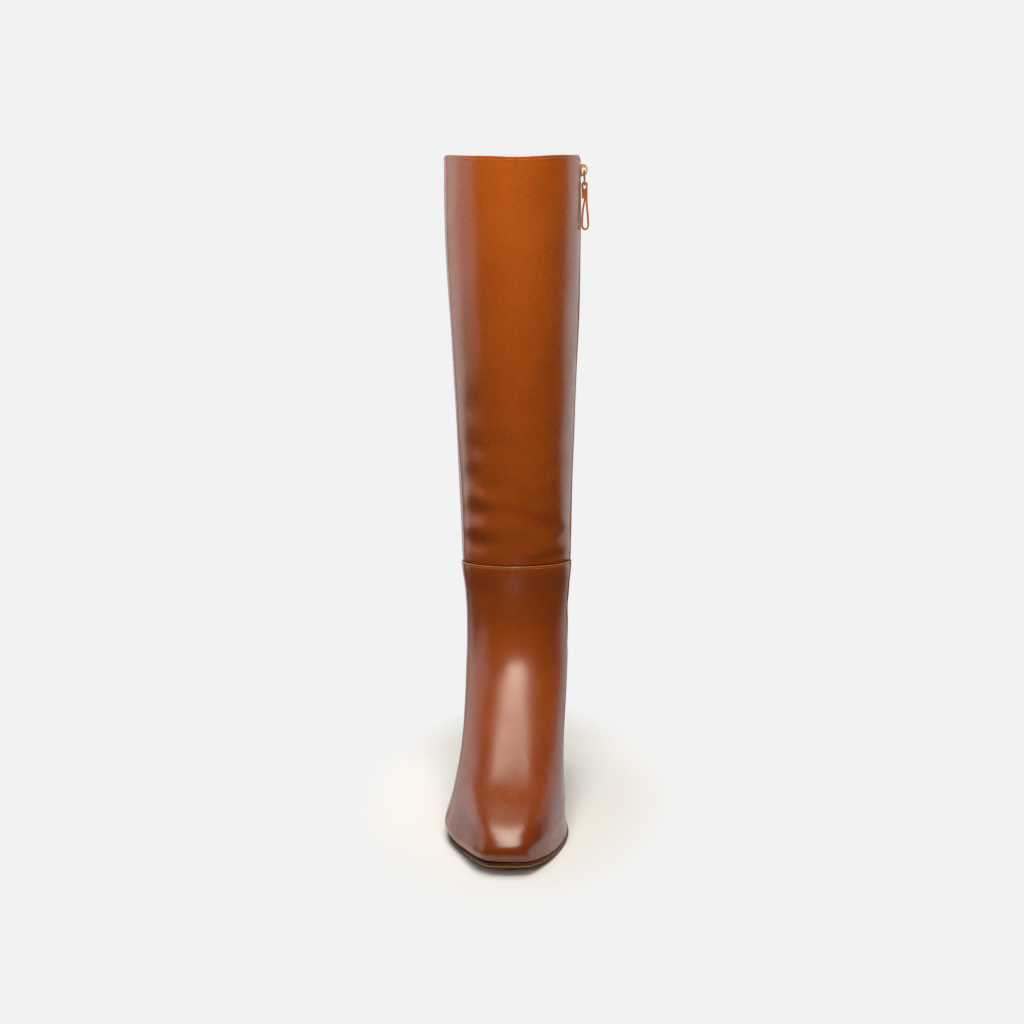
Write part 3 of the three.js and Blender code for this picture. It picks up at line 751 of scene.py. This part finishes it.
def make_foot():
    """The foot part of the upper, in one with its quarters, lapped over the shaft at its top edge."""
    levels = level_rows(0, SEAM, 2.05, (0, 0.7), EDGE_ROWS)
    half = slot_half(levels)
    angles, gap = column_angles(levels, half, (104, 118))
    open_row = int(np.argmax(half > 0))
    gap = np.where(np.arange(len(levels))[:, None] < open_row, 99, gap)
    grid = levels[:, None] + 0 * angles
    from_top = (SEAM - grid) * Place(angles, grid).climb

    def outside(place):
        edge = round_off(gap) + round_off(from_top)
        return foot_relief(angles, place) + lap(grid) + edge + stitch_bed(from_top, LAP_STITCH_DOWN)

    outer = offset_grid(angles, grid, outside)
    inner = offset_grid(angles, grid, lambda place: foot_relief(angles, place) + lap(grid) - LEATHER)
    place = Place(angles[:1], grid[:1])
    tucks = [outer[:1] - place.out * inset - place.up * drop for inset, drop in FEATHER_TUCK]
    outer = np.concatenate(tucks + [outer])
    inner = np.concatenate([inner[:1] - place.out * (inset + 0.2) for inset, _ in FEATHER_TUCK] + [inner])
    made = shell("upper_leather", outer, inner, open_row + len(FEATHER_TUCK), LEATHER_SLOTS)
    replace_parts(made, "upper")


def make_shaft():
    """The shaft, from under the lap to the collar."""
    under = LAP_UNDER / SEAM_ROW
    start = [SEAM - under, SEAM - 0.06, SEAM - 0.012, SEAM + 0.02]
    levels = np.concatenate([start, level_rows(SEAM + 0.05, COLLAR, 1.75, (0,), EDGE_ROWS)])
    angles, gap = column_angles(levels, np.full(levels.shape, SLOT_HALF), (104, 92))
    grid = collar_levels(levels, angles, gap)
    from_top = (COLLAR - levels[:, None]) * COLLAR_ROW + 0 * angles

    def outside(place):
        tuck = -SEAM_TUCK * smooth(((SEAM - grid) * SEAM_ROW + 1.2) / 1.4)
        edge = round_off(gap) + round_off(from_top, COLLAR_ROUND)
        return shaft_relief(angles, place) + tuck + edge + stitch_bed(from_top, COLLAR_STITCH_DOWN)

    def inside(place):
        return outside(place) - LEATHER - 2 * round_off(from_top, COLLAR_ROUND)

    outer, inner = offset_grid(angles, grid, outside), offset_grid(angles, grid, inside)
    # The bands under and just at the lap's edge carry the painted shadow line.
    made = shell("shaft_leather", outer, inner, 0, LEATHER_SLOTS, shadow_rows=len(start) - 1)
    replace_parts(made, "shaft")


def make_lining():
    """Thin leather lining of foot and shaft, in one, with its own edge below the collar."""
    levels = level_rows(0, COLLAR, 4.5, (0, 2), (0, 0.3, 1, 3))
    half = np.where(slot_half(levels) > 0, slot_half(levels) + 0.8, 0)
    angles, gap = column_angles(levels, half, (58, 60))
    open_row = int(np.argmax(half > 0))
    drop = LINING_DROP / COLLAR_ROW * smooth(levels[:, None] - COLLAR + 1)
    grid = collar_levels(levels, angles, gap) - drop

    def relief(place):
        foot = foot_relief(angles, place)
        leg = shaft_relief(angles, place)
        return lerp(foot, leg, smooth((grid - SEAM) * 4 + 0.5)) * 0.9 - LEATHER - LINING_GAP

    outer = offset_grid(angles, grid, relief)
    inner = offset_grid(angles, grid, lambda place: relief(place) - LINING)
    shell("lining", outer, inner, open_row, (LINING_LEATHER, EDGE, LINING_LEATHER))


# ---- sole, heel and insole ----

CONTOUR_STEPS = 150


def contour(inset, surface, height):
    """The sole's outline drawn in by inset, at a height over a surface: one closed ring from the toe along
    the inner side to the heel and back."""
    share = (1 - np.cos(np.linspace(0, math.pi, CONTOUR_STEPS + 1))) / 2
    y = lerp(TOE_TIP, HEEL_BACK, share)
    inner, outer = (np.stack([outline_x(y, side), y], axis=-1) for side in (1, -1))
    ring = np.concatenate([inner, outer[1:-1][::-1]])
    along = unit(np.roll(ring, -1, axis=0) - np.roll(ring, 1, axis=0))
    ring = ring + np.stack([-along[:, 1], along[:, 0]], axis=-1) * inset
    ring[:, 1] = np.clip(ring[:, 1], TOE_TIP + inset, HEEL_BACK - inset)
    return np.column_stack([ring, surface(ring[:, 1]) + height])


def cap(start, count, flip):
    """Strips across a ring whose points pair up from side to side."""
    k = np.arange(1, count // 2 - 1)
    quads = np.stack([start + k, start + k + 1, start + count - k - 1, start + count - k], axis=-1)
    half = start + count // 2
    ends = np.array([(start, start + 1, start + count - 1), (half - 1, half, half + 1)])
    return (quads[:, ::-1], ends[:, ::-1]) if flip else (quads, ends)


def ring_stack(name, rings, materials, bands=None, caps=None):
    """A closed solid from rings, lowest first. bands: each side band's material, else the first; caps: the
    materials of the bottom and top, which are then made of strips."""
    rings = np.array(rings)
    bands = [0] * (len(rings) - 1) if bands is None else bands
    count = rings.shape[1]
    sides, bottom, top = sweep(rings)
    faces, slots = [sides], [np.repeat(bands, count)]
    if caps is None:
        faces += [bottom, top]
        slots.append([0, 0])
    else:
        ends = cap(0, count, True), cap((len(rings) - 1) * count, count, False)
        for group, material in zip(ends, caps):
            faces += group
            slots += [np.full(len(part), material) for part in group]
    return piece(name, rings.reshape(-1, 3), faces, materials, face_slots=slots, crisp=50)


# Edge of the outsole, from its underside round to its top: inset, height above the underside, material.
SOLE_PROFILE = (
    (6, 0, 1), (1.2, 0, 1), (0.7, 0.02, 2), (0.3, 0.16, 2), (0.06, 0.42, 2), (-0.1, 0.75, 0), (-0.2, 1.3, 0),
    (-0.2, 1.9, 0), (-0.12, 2.4, 0), (0.1, 2.75, 0), (0.5, 2.95, 0), (1.2, 3.0, 0),
)


def make_outsole():
    rings = [contour(inset, sole_bottom, height) for inset, height, _ in SOLE_PROFILE]
    bands = [row[2] for row in SOLE_PROFILE[:-1]]
    materials = (SOLE_EDGE, SOLE_BASE, SOLE_LINE)
    made = ring_stack("outsole_leather", rings, materials, bands, (1, 0))
    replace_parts(made, "outsole")


INSOLE_INSET = 4.2
INSOLE_PROFILE = ((0.3, 0), (0, 0.3), (-0.15, 1.2), (0, 1.9), (0.35, 2.3), (1.0, 2.5), (2.2, 2.55))


def make_insole():
    rings = [contour(INSOLE_INSET + inset, sole_top, NODE_GAP + height) for inset, height in INSOLE_PROFILE]
    made = ring_stack("insole_sock", rings, (LINING_LEATHER,), caps=(0, 0))
    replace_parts(made, "insole")


def heel_ring(inset, z):
    """The heel's D-shaped outline with its hollow breast."""
    t = np.linspace(0, math.pi / 2, 40)
    y = lerp(HEEL_BREAST, HEEL_BACK, np.sin(t))
    shrink = 1 - inset / HEEL_HALF_WIDTH
    low = np.where(y > 0, y * (1 - inset / HEEL_BACK), y)
    inner = np.stack([outline_x(y, 1) * shrink, low], axis=-1)
    outer = np.stack([outline_x(y, -1) * shrink, low], axis=-1)[::-1][1:]
    s = np.linspace(0, 1, 20)[1:-1]
    breast = np.stack([lerp(outer[-1, 0], inner[0, 0], s), HEEL_BREAST + 12 * s * (1 - s)], axis=-1)
    ring = np.concatenate([inner, outer, breast])
    return np.column_stack([ring, np.full(len(ring), z)])


HEEL_LAYERS = 4
GROOVE = 0.14
LAYER_PROFILE = ((0, GROOVE), (0.05, 0.02), (0.35, 0), (0.65, 0), (0.95, 0.02), (1, GROOVE))
LIFT_INSET = 2.15
LIFT_PROFILE = ((0.7, 0), (0.35, 0.12), (0.1, 0.4), (0, 0.9), (0, 3.3), (0.06, 3.8), (0.22, LIFT_THICKNESS))


def make_heel():
    """Leather lifts with fine joints, and a rubber top lift under them."""
    bottom = LIFT_THICKNESS + 0.06
    top = HEEL_HEIGHT - 0.02
    thickness = (top - bottom) / HEEL_LAYERS
    rings = []
    for layer in range(HEEL_LAYERS):
        for share, groove in LAYER_PROFILE:
            z = bottom + (layer + share) * thickness
            inset = lerp(2.2, 0.8, (z - bottom) / (top - bottom)) + groove
            rings.append(heel_ring(inset, z))
        if layer < HEEL_LAYERS - 1:
            rings[-1][:, 2] -= 0.03
    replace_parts(ring_stack("heel_lifts", rings, (HEEL_STACK,)), "heel")
    rings = [heel_ring(LIFT_INSET + inset, z) for inset, z in LIFT_PROFILE]
    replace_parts(ring_stack("top_lift", rings, (HEEL_RUBBER,)), "heel_top_lift")


# ---- stitches ----

STITCH_SIDES = 8
STITCH_SHAPE = ((-0.5, 0.0), (-0.46, 0.55), (-0.3, 0.92), (0.0, 1.0), (0.3, 0.92), (0.46, 0.55), (0.5, 0.0))


def stitches(name, path, outs, pitch, length, radius, sink):
    """A row of stitches along a path, joined in one mesh. Each dips into the leather at its ends."""
    run = running_length(path)
    places = np.arange(pitch / 2, run[-1], pitch)
    at = at_lengths(places, run, path)
    ahead = at_lengths(places + 0.3, run, path)
    out = unit(at_lengths(places, run, outs))
    along = unit(ahead - at)
    side = unit(np.cross(out, along))
    turns = even_turns(STITCH_SIDES)
    local = [(-0.5 * length, 0, -sink - radius)]
    for share, girth in STITCH_SHAPE[1:-1]:
        bow = -sink - 1.3 * radius * (2 * share) ** 4
        girth = girth * radius
        local += [(share * length, girth * math.cos(t), bow + girth * math.sin(t)) for t in turns]
    local.append((0.5 * length, 0, -sink - radius))
    local = np.array(local)
    points = at[:, None] + local[None, :, :1] * along[:, None] + local[None, :, 1:2] * side[:, None]
    points = points + local[None, :, 2:] * out[:, None]
    ring = np.arange(STITCH_SIDES)
    nxt = (ring + 1) % STITCH_SIDES
    quads = 1 + sweep(local[1:-1].reshape(-1, STITCH_SIDES, 3))[0]
    last = len(local) - 1
    tips = np.concatenate([
        np.stack([0 * ring, 1 + nxt, 1 + ring], axis=-1),
        np.stack([0 * ring + last, last - STITCH_SIDES + ring, last - STITCH_SIDES + nxt], axis=-1),
    ])
    starts = (np.arange(len(places)) * len(local))[:, None, None]
    faces = [(quads[None] + starts).reshape(-1, 4), (tips[None] + starts).reshape(-1, 3)]
    return piece(name, points.reshape(-1, 3), faces, (THREAD,), crisp=80)


def surface_path(angles, levels, offset):
    place = Place(angles, levels)
    return place.point + place.out * offset(place)[..., None], place.out


ROUND_SAMPLES = 1400
SIDE_SAMPLES = 900


def make_stitching():
    # Below the foot part's lapped edge.
    level = SEAM - LAP_STITCH_DOWN / LAP_ROW
    zips = float(zip_angle(np.array(level)))
    start = zips + float((SLOT_HALF + 1) / Place(math.pi / 2, level).pace)
    angles = np.linspace(start, 2 * math.pi + zips - 0.09, ROUND_SAMPLES)
    levels = SEAM - LAP_STITCH_DOWN / Place(angles, np.full(angles.shape, SEAM - 0.05)).climb
    path, outs = surface_path(angles, levels, lambda place: foot_relief(angles, place) + LAP_STEP)
    stitches("lap_stitches", path, outs, 1.5, 1.25, 0.2, 0.08)

    # Below the collar.
    level = np.array(COLLAR - COLLAR_STITCH_DOWN / COLLAR_ROW)
    zips = zip_angle(level)
    pace = Place(zips, level).pace
    start, end = zips + SLOT_HALF / pace, zips + 2 * math.pi - SLOT_HALF / pace
    angles = np.linspace(start + 1.2 / pace, end - 1.2 / pace, ROUND_SAMPLES)
    gap = np.minimum(angles - start, end - angles) * pace
    levels = collar_levels(level[None], angles[None], gap[None])[0]
    path, outs = surface_path(angles, levels, lambda place: shaft_relief(angles, place))
    stitches("collar_stitches", path, outs, 2.2, 1.7, 0.22, 0.08)

    # Beside the zip, on both edges of the slot.
    for name, side in (("front", -1), ("back", 1)):
        for part, low, high, offset, relief in (
            ("foot", zip_level(ZIP_BOTTOM + 7), SEAM - 0.12, lap, foot_relief),
            ("shaft", SEAM + 0.06, COLLAR - 0.28, lambda level: 0 * level, shaft_relief),
        ):
            levels = np.linspace(low, high, SIDE_SAMPLES)
            zips = zip_angle(levels)
            angles = zips + side * (SLOT_HALF + 2.1) / Place(zips, levels).pace
            path, outs = surface_path(angles, levels, lambda place: relief(angles, place) + offset(levels))
            stitches(f"zip_stitches_{name}_{part}", path, outs, 2.4, 1.9, 0.2, 0.08)


# ---- zip ----

ZIP_SAMPLES = 3000


def zip_line(from_z, to_z, step):
    """Places along the zip's line, evenly spaced."""
    fine = np.linspace(zip_level(from_z), zip_level(to_z), ZIP_SAMPLES)
    points = skin(zip_angle(fine), fine)
    run = running_length(points)
    levels = np.interp(np.arange(0, run[-1], step), run, fine)
    return Place(zip_angle(levels), levels)


# Section of a tape: distance from the zip's line, height over the skin.
TAPE_SECTION = (
    (0.7, -2.05), (1.0, -1.75), (1.6, -1.7), (2.0, -2.0), (2.3, -2.4), (8, -2.42), (14.2, -2.42),
    (14.4, -2.65), (14.2, -2.9), (8, -2.92), (2.3, -2.92), (1.9, -3.2), (1.4, -3.3), (0.9, -3.1), (0.7, -2.6),
)
TOOTH_PITCH = 2.1
TOOTH = {"reach": 2.45, "hook": 0.55, "thick": 1.2, "top": -0.95, "bottom": -3.35, "bevel": 0.22}


def make_tapes():
    for name, side in (("front", -1), ("back", 1)):
        place = zip_line(ZIP_BOTTOM + 1, COLLAR_Z - CORNER_DROP - 0.6, 2.2)
        section = np.array(TAPE_SECTION)
        a, d = section[:, 0] * side, section[:, 1]
        if side < 0:
            a, d = a[::-1], d[::-1]
        level = zip_level(place.point[:, 2])
        angle = zip_angle(level)[:, None] + a[None] / place.pace[:, None]
        bent = Place(angle, level[:, None] + 0 * angle)
        points = bent.point + bent.out * d[None, :, None]
        faces = [f[:, ::-1] for f in sweep(points)]
        points = points.reshape(-1, 3)
        made = piece(f"zip_tape_{name}_woven", points, faces, (ZIP_CLOTH,), crisp=60)
        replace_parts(made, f"zip_tape_{name}")


def tooth_shape():
    """One tooth in (across, up, out), with bevelled edges and a nib that hooks its neighbour."""
    t = TOOTH
    xs = (-t["hook"], -t["hook"] + t["bevel"], t["reach"] - t["bevel"], t["reach"])
    points = []
    for i, x in enumerate(xs):
        shrink = t["bevel"] if i in (0, 3) else 0
        half = t["thick"] / 2 * (0.72 if i < 2 else 1) - shrink
        top, bottom = t["top"] - shrink, t["bottom"] + shrink
        b = t["bevel"]
        ring = [(half, bottom + b), (half, top - b), (half - b, top), (b - half, top)]
        ring += [(-half, top - b), (-half, bottom + b), (b - half, bottom), (half - b, bottom)]
        points += [(x, u, d) for u, d in ring]
    points = np.array(points)
    return points, sweep(points.reshape(len(xs), -1, 3))


def make_teeth():
    shape, faces = tooth_shape()
    points, groups = [], [[], [], []]
    for side in (-1, 1):
        place = zip_line(ZIP_BOTTOM + 2 + (TOOTH_PITCH / 2 if side > 0 else 0), SLIDER_Z + 3, TOOTH_PITCH)
        for p, a, u, o in zip(place.point, place.across, place.up, place.out):
            base = len(points) * len(shape)
            points.append(p + shape[:, :1] * side * a + shape[:, 1:2] * u + shape[:, 2:] * o)
            for group, part in zip(groups, faces):
                group.append((part if side < 0 else part[:, ::-1]) + base)
    merged = [np.concatenate(group) for group in groups]
    made = piece("zip_teeth", np.concatenate(points), merged, (GOLD,), crisp=30)
    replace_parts(made, "zip_chain")


# ---- slider and pull, in the slider's own frame: across the zip, up it, out of the leather ----

SEAT = Place(zip_angle(zip_level(np.array(SLIDER_Z))), zip_level(np.array(SLIDER_Z)))
ACROSS = np.array([1.0, 0, 0])
PIVOT = (4.6, 2.5)
LINK_WIRE = 0.6
LINK_HALF = 3.4
LINK_REACH = 10.2


def seated(points, pivot=(0, 0)):
    points = np.asarray(points, float)
    up, out = points[..., 1:2] + pivot[0], points[..., 2:] + pivot[1]
    return SEAT.point + points[..., :1] * SEAT.across + up * SEAT.up + out * SEAT.out


def smooth_path(points, samples):
    """A smooth open path through the points, evenly spaced."""
    points = np.array(points, float)
    ends = [2 * points[0] - points[1], *points, 2 * points[-1] - points[-2]]
    ring = closed_curve(np.array(ends), samples * 8)
    first = np.argmin(np.linalg.norm(ring - points[0], axis=1))
    last = np.argmin(np.linalg.norm(ring - points[-1], axis=1))
    ring = ring[first: last + 1]
    run = running_length(ring)
    return at_lengths(np.linspace(0, run[-1], samples), run, ring)


def rounded_plate(half_low, half_high, low, high, corner, steps=6):
    """A plate's outline in (across, up) with round corners, narrower below."""
    corners = ((half_low, low, -90), (half_high, high, 0), (-half_high, high, 90), (-half_low, low, 180))
    points = []
    for x, y, start in corners:
        cx, cy = x - math.copysign(corner, x), y + (corner if y == low else -corner)
        for i in range(steps + 1):
            a = math.radians(start + 90 * i / steps)
            points.append((cx + corner * math.cos(a), cy + corner * math.sin(a)))
    return np.array(points)


def plate_rings(outline, bottom, top, bevel):
    centre = outline.mean(axis=0)
    size = np.abs(outline - centre).max()
    chamfer = ((bevel, 0), (bevel * 0.3, bevel * 0.3), (0, bevel))
    profile = [(inset, bottom + z) for inset, z in chamfer] + [(inset, top - z) for inset, z in chamfer[::-1]]
    rings = []
    for inset, z in profile:
        ring = centre + (outline - centre) * (1 - inset / size)
        rings.append(np.column_stack([ring, np.full(len(ring), z)]))
    return rings


def joined(name, parts, material, body="boot", pivot=(0, 0), crisp=40):
    """One piece from several closed parts; each is (sections, end caps)."""
    points, faces, base = [], [], 0
    for sections, ends in parts:
        sections = np.asarray(sections, float)
        faces += [group + base for group in sweep(sections, ends)]
        points.append(sections.reshape(-1, 3))
        base += len(points[-1])
    points = seated(np.concatenate(points), pivot)
    return piece(name, points, faces, (material,), body=body, crisp=crisp)


def wire_ring(path, radius, sides=12):
    """Round sections along a closed path that lies flat, square to the slider's out direction."""
    along = unit(np.roll(path, -1, axis=0) - np.roll(path, 1, axis=0))
    normal = np.array([0, 0, 1.0])
    side = unit(np.cross(along, normal))
    turns = even_turns(sides)[None, :, None]
    return path[:, None] + radius * (np.cos(turns) * side[:, None] + np.sin(turns) * normal)


BRIDGE_ARCH = (
    (0, 0.8, 0.4), (0, 1.3, 2.2), (0, 2.4, 3.6), (0, 4.8, 4.25), (0, 7, 3.6), (0, 8.2, 2.2), (0, 8.7, 0.4),
)
BRIDGE_ROWS = 30
BRIDGE_HALF_THICK = 0.62


def make_slider():
    body = rounded_plate(2.7, 3.8, 0, SLIDER_LENGTH, 1.1)
    top = plate_rings(body, -0.5, 0.9, 0.3)
    bottom = plate_rings(body, -5.3, -3.9, 0.3)
    post = plate_rings(rounded_plate(1.1, 1.5, 7.2, SLIDER_LENGTH, 0.4), -4.4, 0, 0.1)
    flanges = []
    for side in (-1, 1):
        rail = rounded_plate(0.4, 0.4, 0.8, 7.4, 0.35)
        rail[:, 0] += side * (2.75 + 0.75 * (rail[:, 1]) / SLIDER_LENGTH)
        flanges += [plate_rings(rail, -1.5, -0.3, 0.15), plate_rings(rail, -4.2, -3.0, 0.15)]
    arch = smooth_path(BRIDGE_ARCH, BRIDGE_ROWS)
    thick = np.cross(unit(np.gradient(arch, axis=0)), ACROSS)
    half_width = lerp(1.7, 1.35, np.sin(np.linspace(0, math.pi, BRIDGE_ROWS)))
    turns = even_turns(16)
    c, s = (np.sign(wave) * np.abs(wave) ** 0.6 for wave in (np.cos(turns), np.sin(turns)))
    bridge = arch[:, None] + c[None, :, None] * half_width[:, None, None] * ACROSS
    bridge = bridge - s[None, :, None] * BRIDGE_HALF_THICK * thick[:, None]
    lock = plate_rings(rounded_plate(1.15, 1.3, 6.1, 8.4, 0.4), 0.5, 3.5, 0.3)
    nose = plate_rings(rounded_plate(1.3, 1.15, 0.9, 2.9, 0.4), 0.5, 2.6, 0.3)
    parts = [(rings, True) for rings in [top, bottom, post, bridge, lock, nose] + flanges]
    made = joined("zip_slider_body", parts, GOLD)
    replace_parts(made, "zip_slider")


def make_link():
    outline = rounded_plate(LINK_HALF, LINK_HALF, -LINK_REACH, 0, 0.9)
    path = np.column_stack([outline, np.zeros(len(outline))])
    rings = wire_ring(path, LINK_WIRE)
    made = joined("zip_pull_wire", [(rings, False)], OLD_GOLD, body="zip_pull", pivot=PIVOT, crisp=60)
    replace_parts(made, "zip_pull_link")


STRAP_HALF_WIDTH = 2.4
STRAP_HALF_THICK = 0.63


def strap_path():
    """The folded strap's middle line in (up, out): free end, over the link, round the drop, to the neck."""
    eye = [(-LINK_REACH + 1.6 * math.sin(a), 1.6 * math.cos(a)) for a in np.radians((150, 110, 70, 30))]
    drop = [(-38.3 - 2.05 * math.sin(a), 2.05 * math.cos(a)) for a in np.radians((0, 45, 90, 135, 180))]
    route = [(-19.4, -1.34), (-16.5, -1.32), (-12.9, -1.34)]
    route += [(u, -abs(o)) for u, o in eye[:2]] + eye[2:]
    route += [(-12.9, 1.34), (-17, 1.32), (-20.5, 1.2), (-25, 1.45), (-30, 1.85), (-34.5, 2.05)] + drop
    route += [(-34.5, -2.0), (-30, -1.7), (-26, -1.2), (-22.8, -0.55), (-20, 0.0), (-16.5, 0.0), (-12.9, 0.0)]
    return route


def make_strap():
    line = smooth_path(strap_path(), 220)
    path = np.column_stack([np.zeros(len(line)), line])
    along = unit(np.gradient(path, axis=0))
    face = np.cross(along, ACROSS)
    w, t = STRAP_HALF_WIDTH, STRAP_HALF_THICK
    section = np.roll(rounded_plate(w, w, -t, t, 0.3, steps=3), -4, axis=0)
    rings = path[:, None] + section[None, :, :1] * ACROSS + section[None, :, 1:] * face[:, None]
    parts = [(rings[:, ::-1], True)]
    made = joined("zip_pull_leather", parts, STRAP, "zip_pull", PIVOT, crisp=50)
    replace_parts(made, "zip_pull_strap")


MAKERS = (
    make_foot, make_shaft, make_lining, make_outsole, make_insole, make_heel, make_stitching, make_tapes,
    make_teeth, make_slider, make_link, make_strap,
)
for make in MAKERS:
    make()


# ---- floor, light and camera ----

FLOOR_COLOUR = (0.815, 0.85, 0.91, 1)
BACKDROP = 0.888
PAPER = 0.23
PAPER_Y = -0.05
PAPER_WIDE = 0.5
FAR = 7
STAGE_SIDES = 96


def backdrop_emission():
    material = bpy.data.materials.new("backdrop")
    material.use_nodes = True
    tree = material.node_tree
    tree.nodes.remove(tree.nodes["Principled BSDF"])
    emission = tree.nodes.new("ShaderNodeEmission")
    emission.inputs["Color"].default_value = (BACKDROP, BACKDROP, BACKDROP, 1)
    tree.links.new(emission.outputs[0], tree.nodes["Material Output"].inputs["Surface"])
    return material


def paper():
    """Pale paper round the boot that fades into the plain backdrop away from it."""
    shade = Shade("paper", roughness=0.9)
    shade.shader.inputs["Base Color"].default_value = FLOOR_COLOUR
    shade.shader.inputs["Specular IOR Level"].default_value = 0.1
    emission = shade.node("Emission", {"Color": (BACKDROP, BACKDROP, BACKDROP, 1)})
    off = shade.vector("SUBTRACT", shade.place, (0, PAPER_Y, 0))
    distance = shade.vector("LENGTH", shade.vector("MULTIPLY", off, (1 / PAPER_WIDE, 1, 1)))
    share = shade.span(distance, 0.66 * PAPER, 0.98 * PAPER, 0.0, 1.0)
    mixed = shade.node("MixShader", {0: share, 1: shade.shader.outputs[0], 2: emission.outputs[0]})
    return shade.surfaced(mixed.outputs[0])


def stage_mesh(name, points, faces, material):
    mesh = bpy.data.meshes.new(name)
    mesh.from_pydata(points, [], faces)
    mesh.materials.append(material)
    made = bpy.data.objects.new(name, mesh)
    bpy.context.scene.collection.objects.link(made)
    return made


def make_stage():
    n = STAGE_SIDES
    around = even_turns(n)
    near = [(PAPER_WIDE * PAPER * math.cos(a), PAPER_Y + PAPER * math.sin(a), 0) for a in around]
    stage_mesh("floor", near, [tuple(range(n))], paper())
    far = [(0.95 * x, PAPER_Y + 0.95 * (y - PAPER_Y), -0.001) for x, y, _ in near]
    far += [(FAR * math.cos(a), FAR * math.sin(a), -0.001) for a in around]
    far += [(FAR * math.cos(a), FAR * math.sin(a), FAR) for a in around]
    faces = []
    for i in range(n):
        j = (i + 1) % n
        faces += [(i, n + i, n + j, j), (n + i, 2 * n + i, 2 * n + j, n + j)]
    faces.append(tuple(range(2 * n, 3 * n)))
    wide = stage_mesh("backdrop", far, faces, backdrop_emission())
    wide.visible_diffuse = False
    wide.visible_glossy = False
    wide.visible_transmission = False
    wide.visible_shadow = False


WARM = (1.0, 0.92, 0.78)
WHITE = (1.0, 1.0, 1.0)
WORLD = 0.035
# Soft panels: name, place, target, width, height, radiance, spread in degrees, colour.
PANELS = (
    ("overhead", (-0.06, -0.06, 1.5), (-0.06, -0.06, 0), 0.7, 1.0, 6.7, 180, WARM),
    ("key", (0.08, -0.58, 1.127), (0, 0.01, 0.517), 0.65, 0.58, 2.7, 90, WARM),
    ("back", (-0.14, 1.6, 0.6), (-0.14, 0, 0.6), 4.52, 2.0, 0.82, 180, WHITE),
    ("left", (-1.5, 0.42, 0.87), (0, 0.42, 0.87), 1.56, 1.64, 0.8, 180, WHITE),
)


def make_lights():
    world = bpy.data.worlds.new("studio")
    world.use_nodes = True
    world.node_tree.nodes["Background"].inputs["Color"].default_value = (WORLD, WORLD, WORLD, 1)
    bpy.context.scene.world = world
    for name, place, target, width, height, radiance, spread, colour in PANELS:
        data = bpy.data.lights.new(name, "AREA")
        data.shape = "RECTANGLE"
        data.size, data.size_y = width, height
        data.energy = radiance * math.pi * width * height
        data.spread = math.radians(spread)
        data.color = colour
        made = bpy.data.objects.new(name, data)
        made.location = place
        made.rotation_euler = (Vector(target) - Vector(place)).to_track_quat("-Z", "Y").to_euler()
        made.visible_camera = False
        bpy.context.scene.collection.objects.link(made)


CAMERA_PLACE = (0.0763, -1.38, 0.461)
LENS = 68.6
PITCH = 10.95
PAN = 3.284


def make_camera():
    data = bpy.data.cameras.new("camera")
    data.sensor_width = 36
    data.lens = LENS
    made = bpy.data.objects.new("camera", data)
    made.location = CAMERA_PLACE
    turned = Matrix.Rotation(math.radians(90 - PITCH), 3, "X") @ Matrix.Rotation(math.radians(PAN), 3, "Y")
    made.rotation_euler = turned.to_euler()
    bpy.context.scene.collection.objects.link(made)
    bpy.context.scene.camera = made


make_stage()
make_lights()
make_camera()
bpy.context.scene.view_settings.view_transform = "Standard"
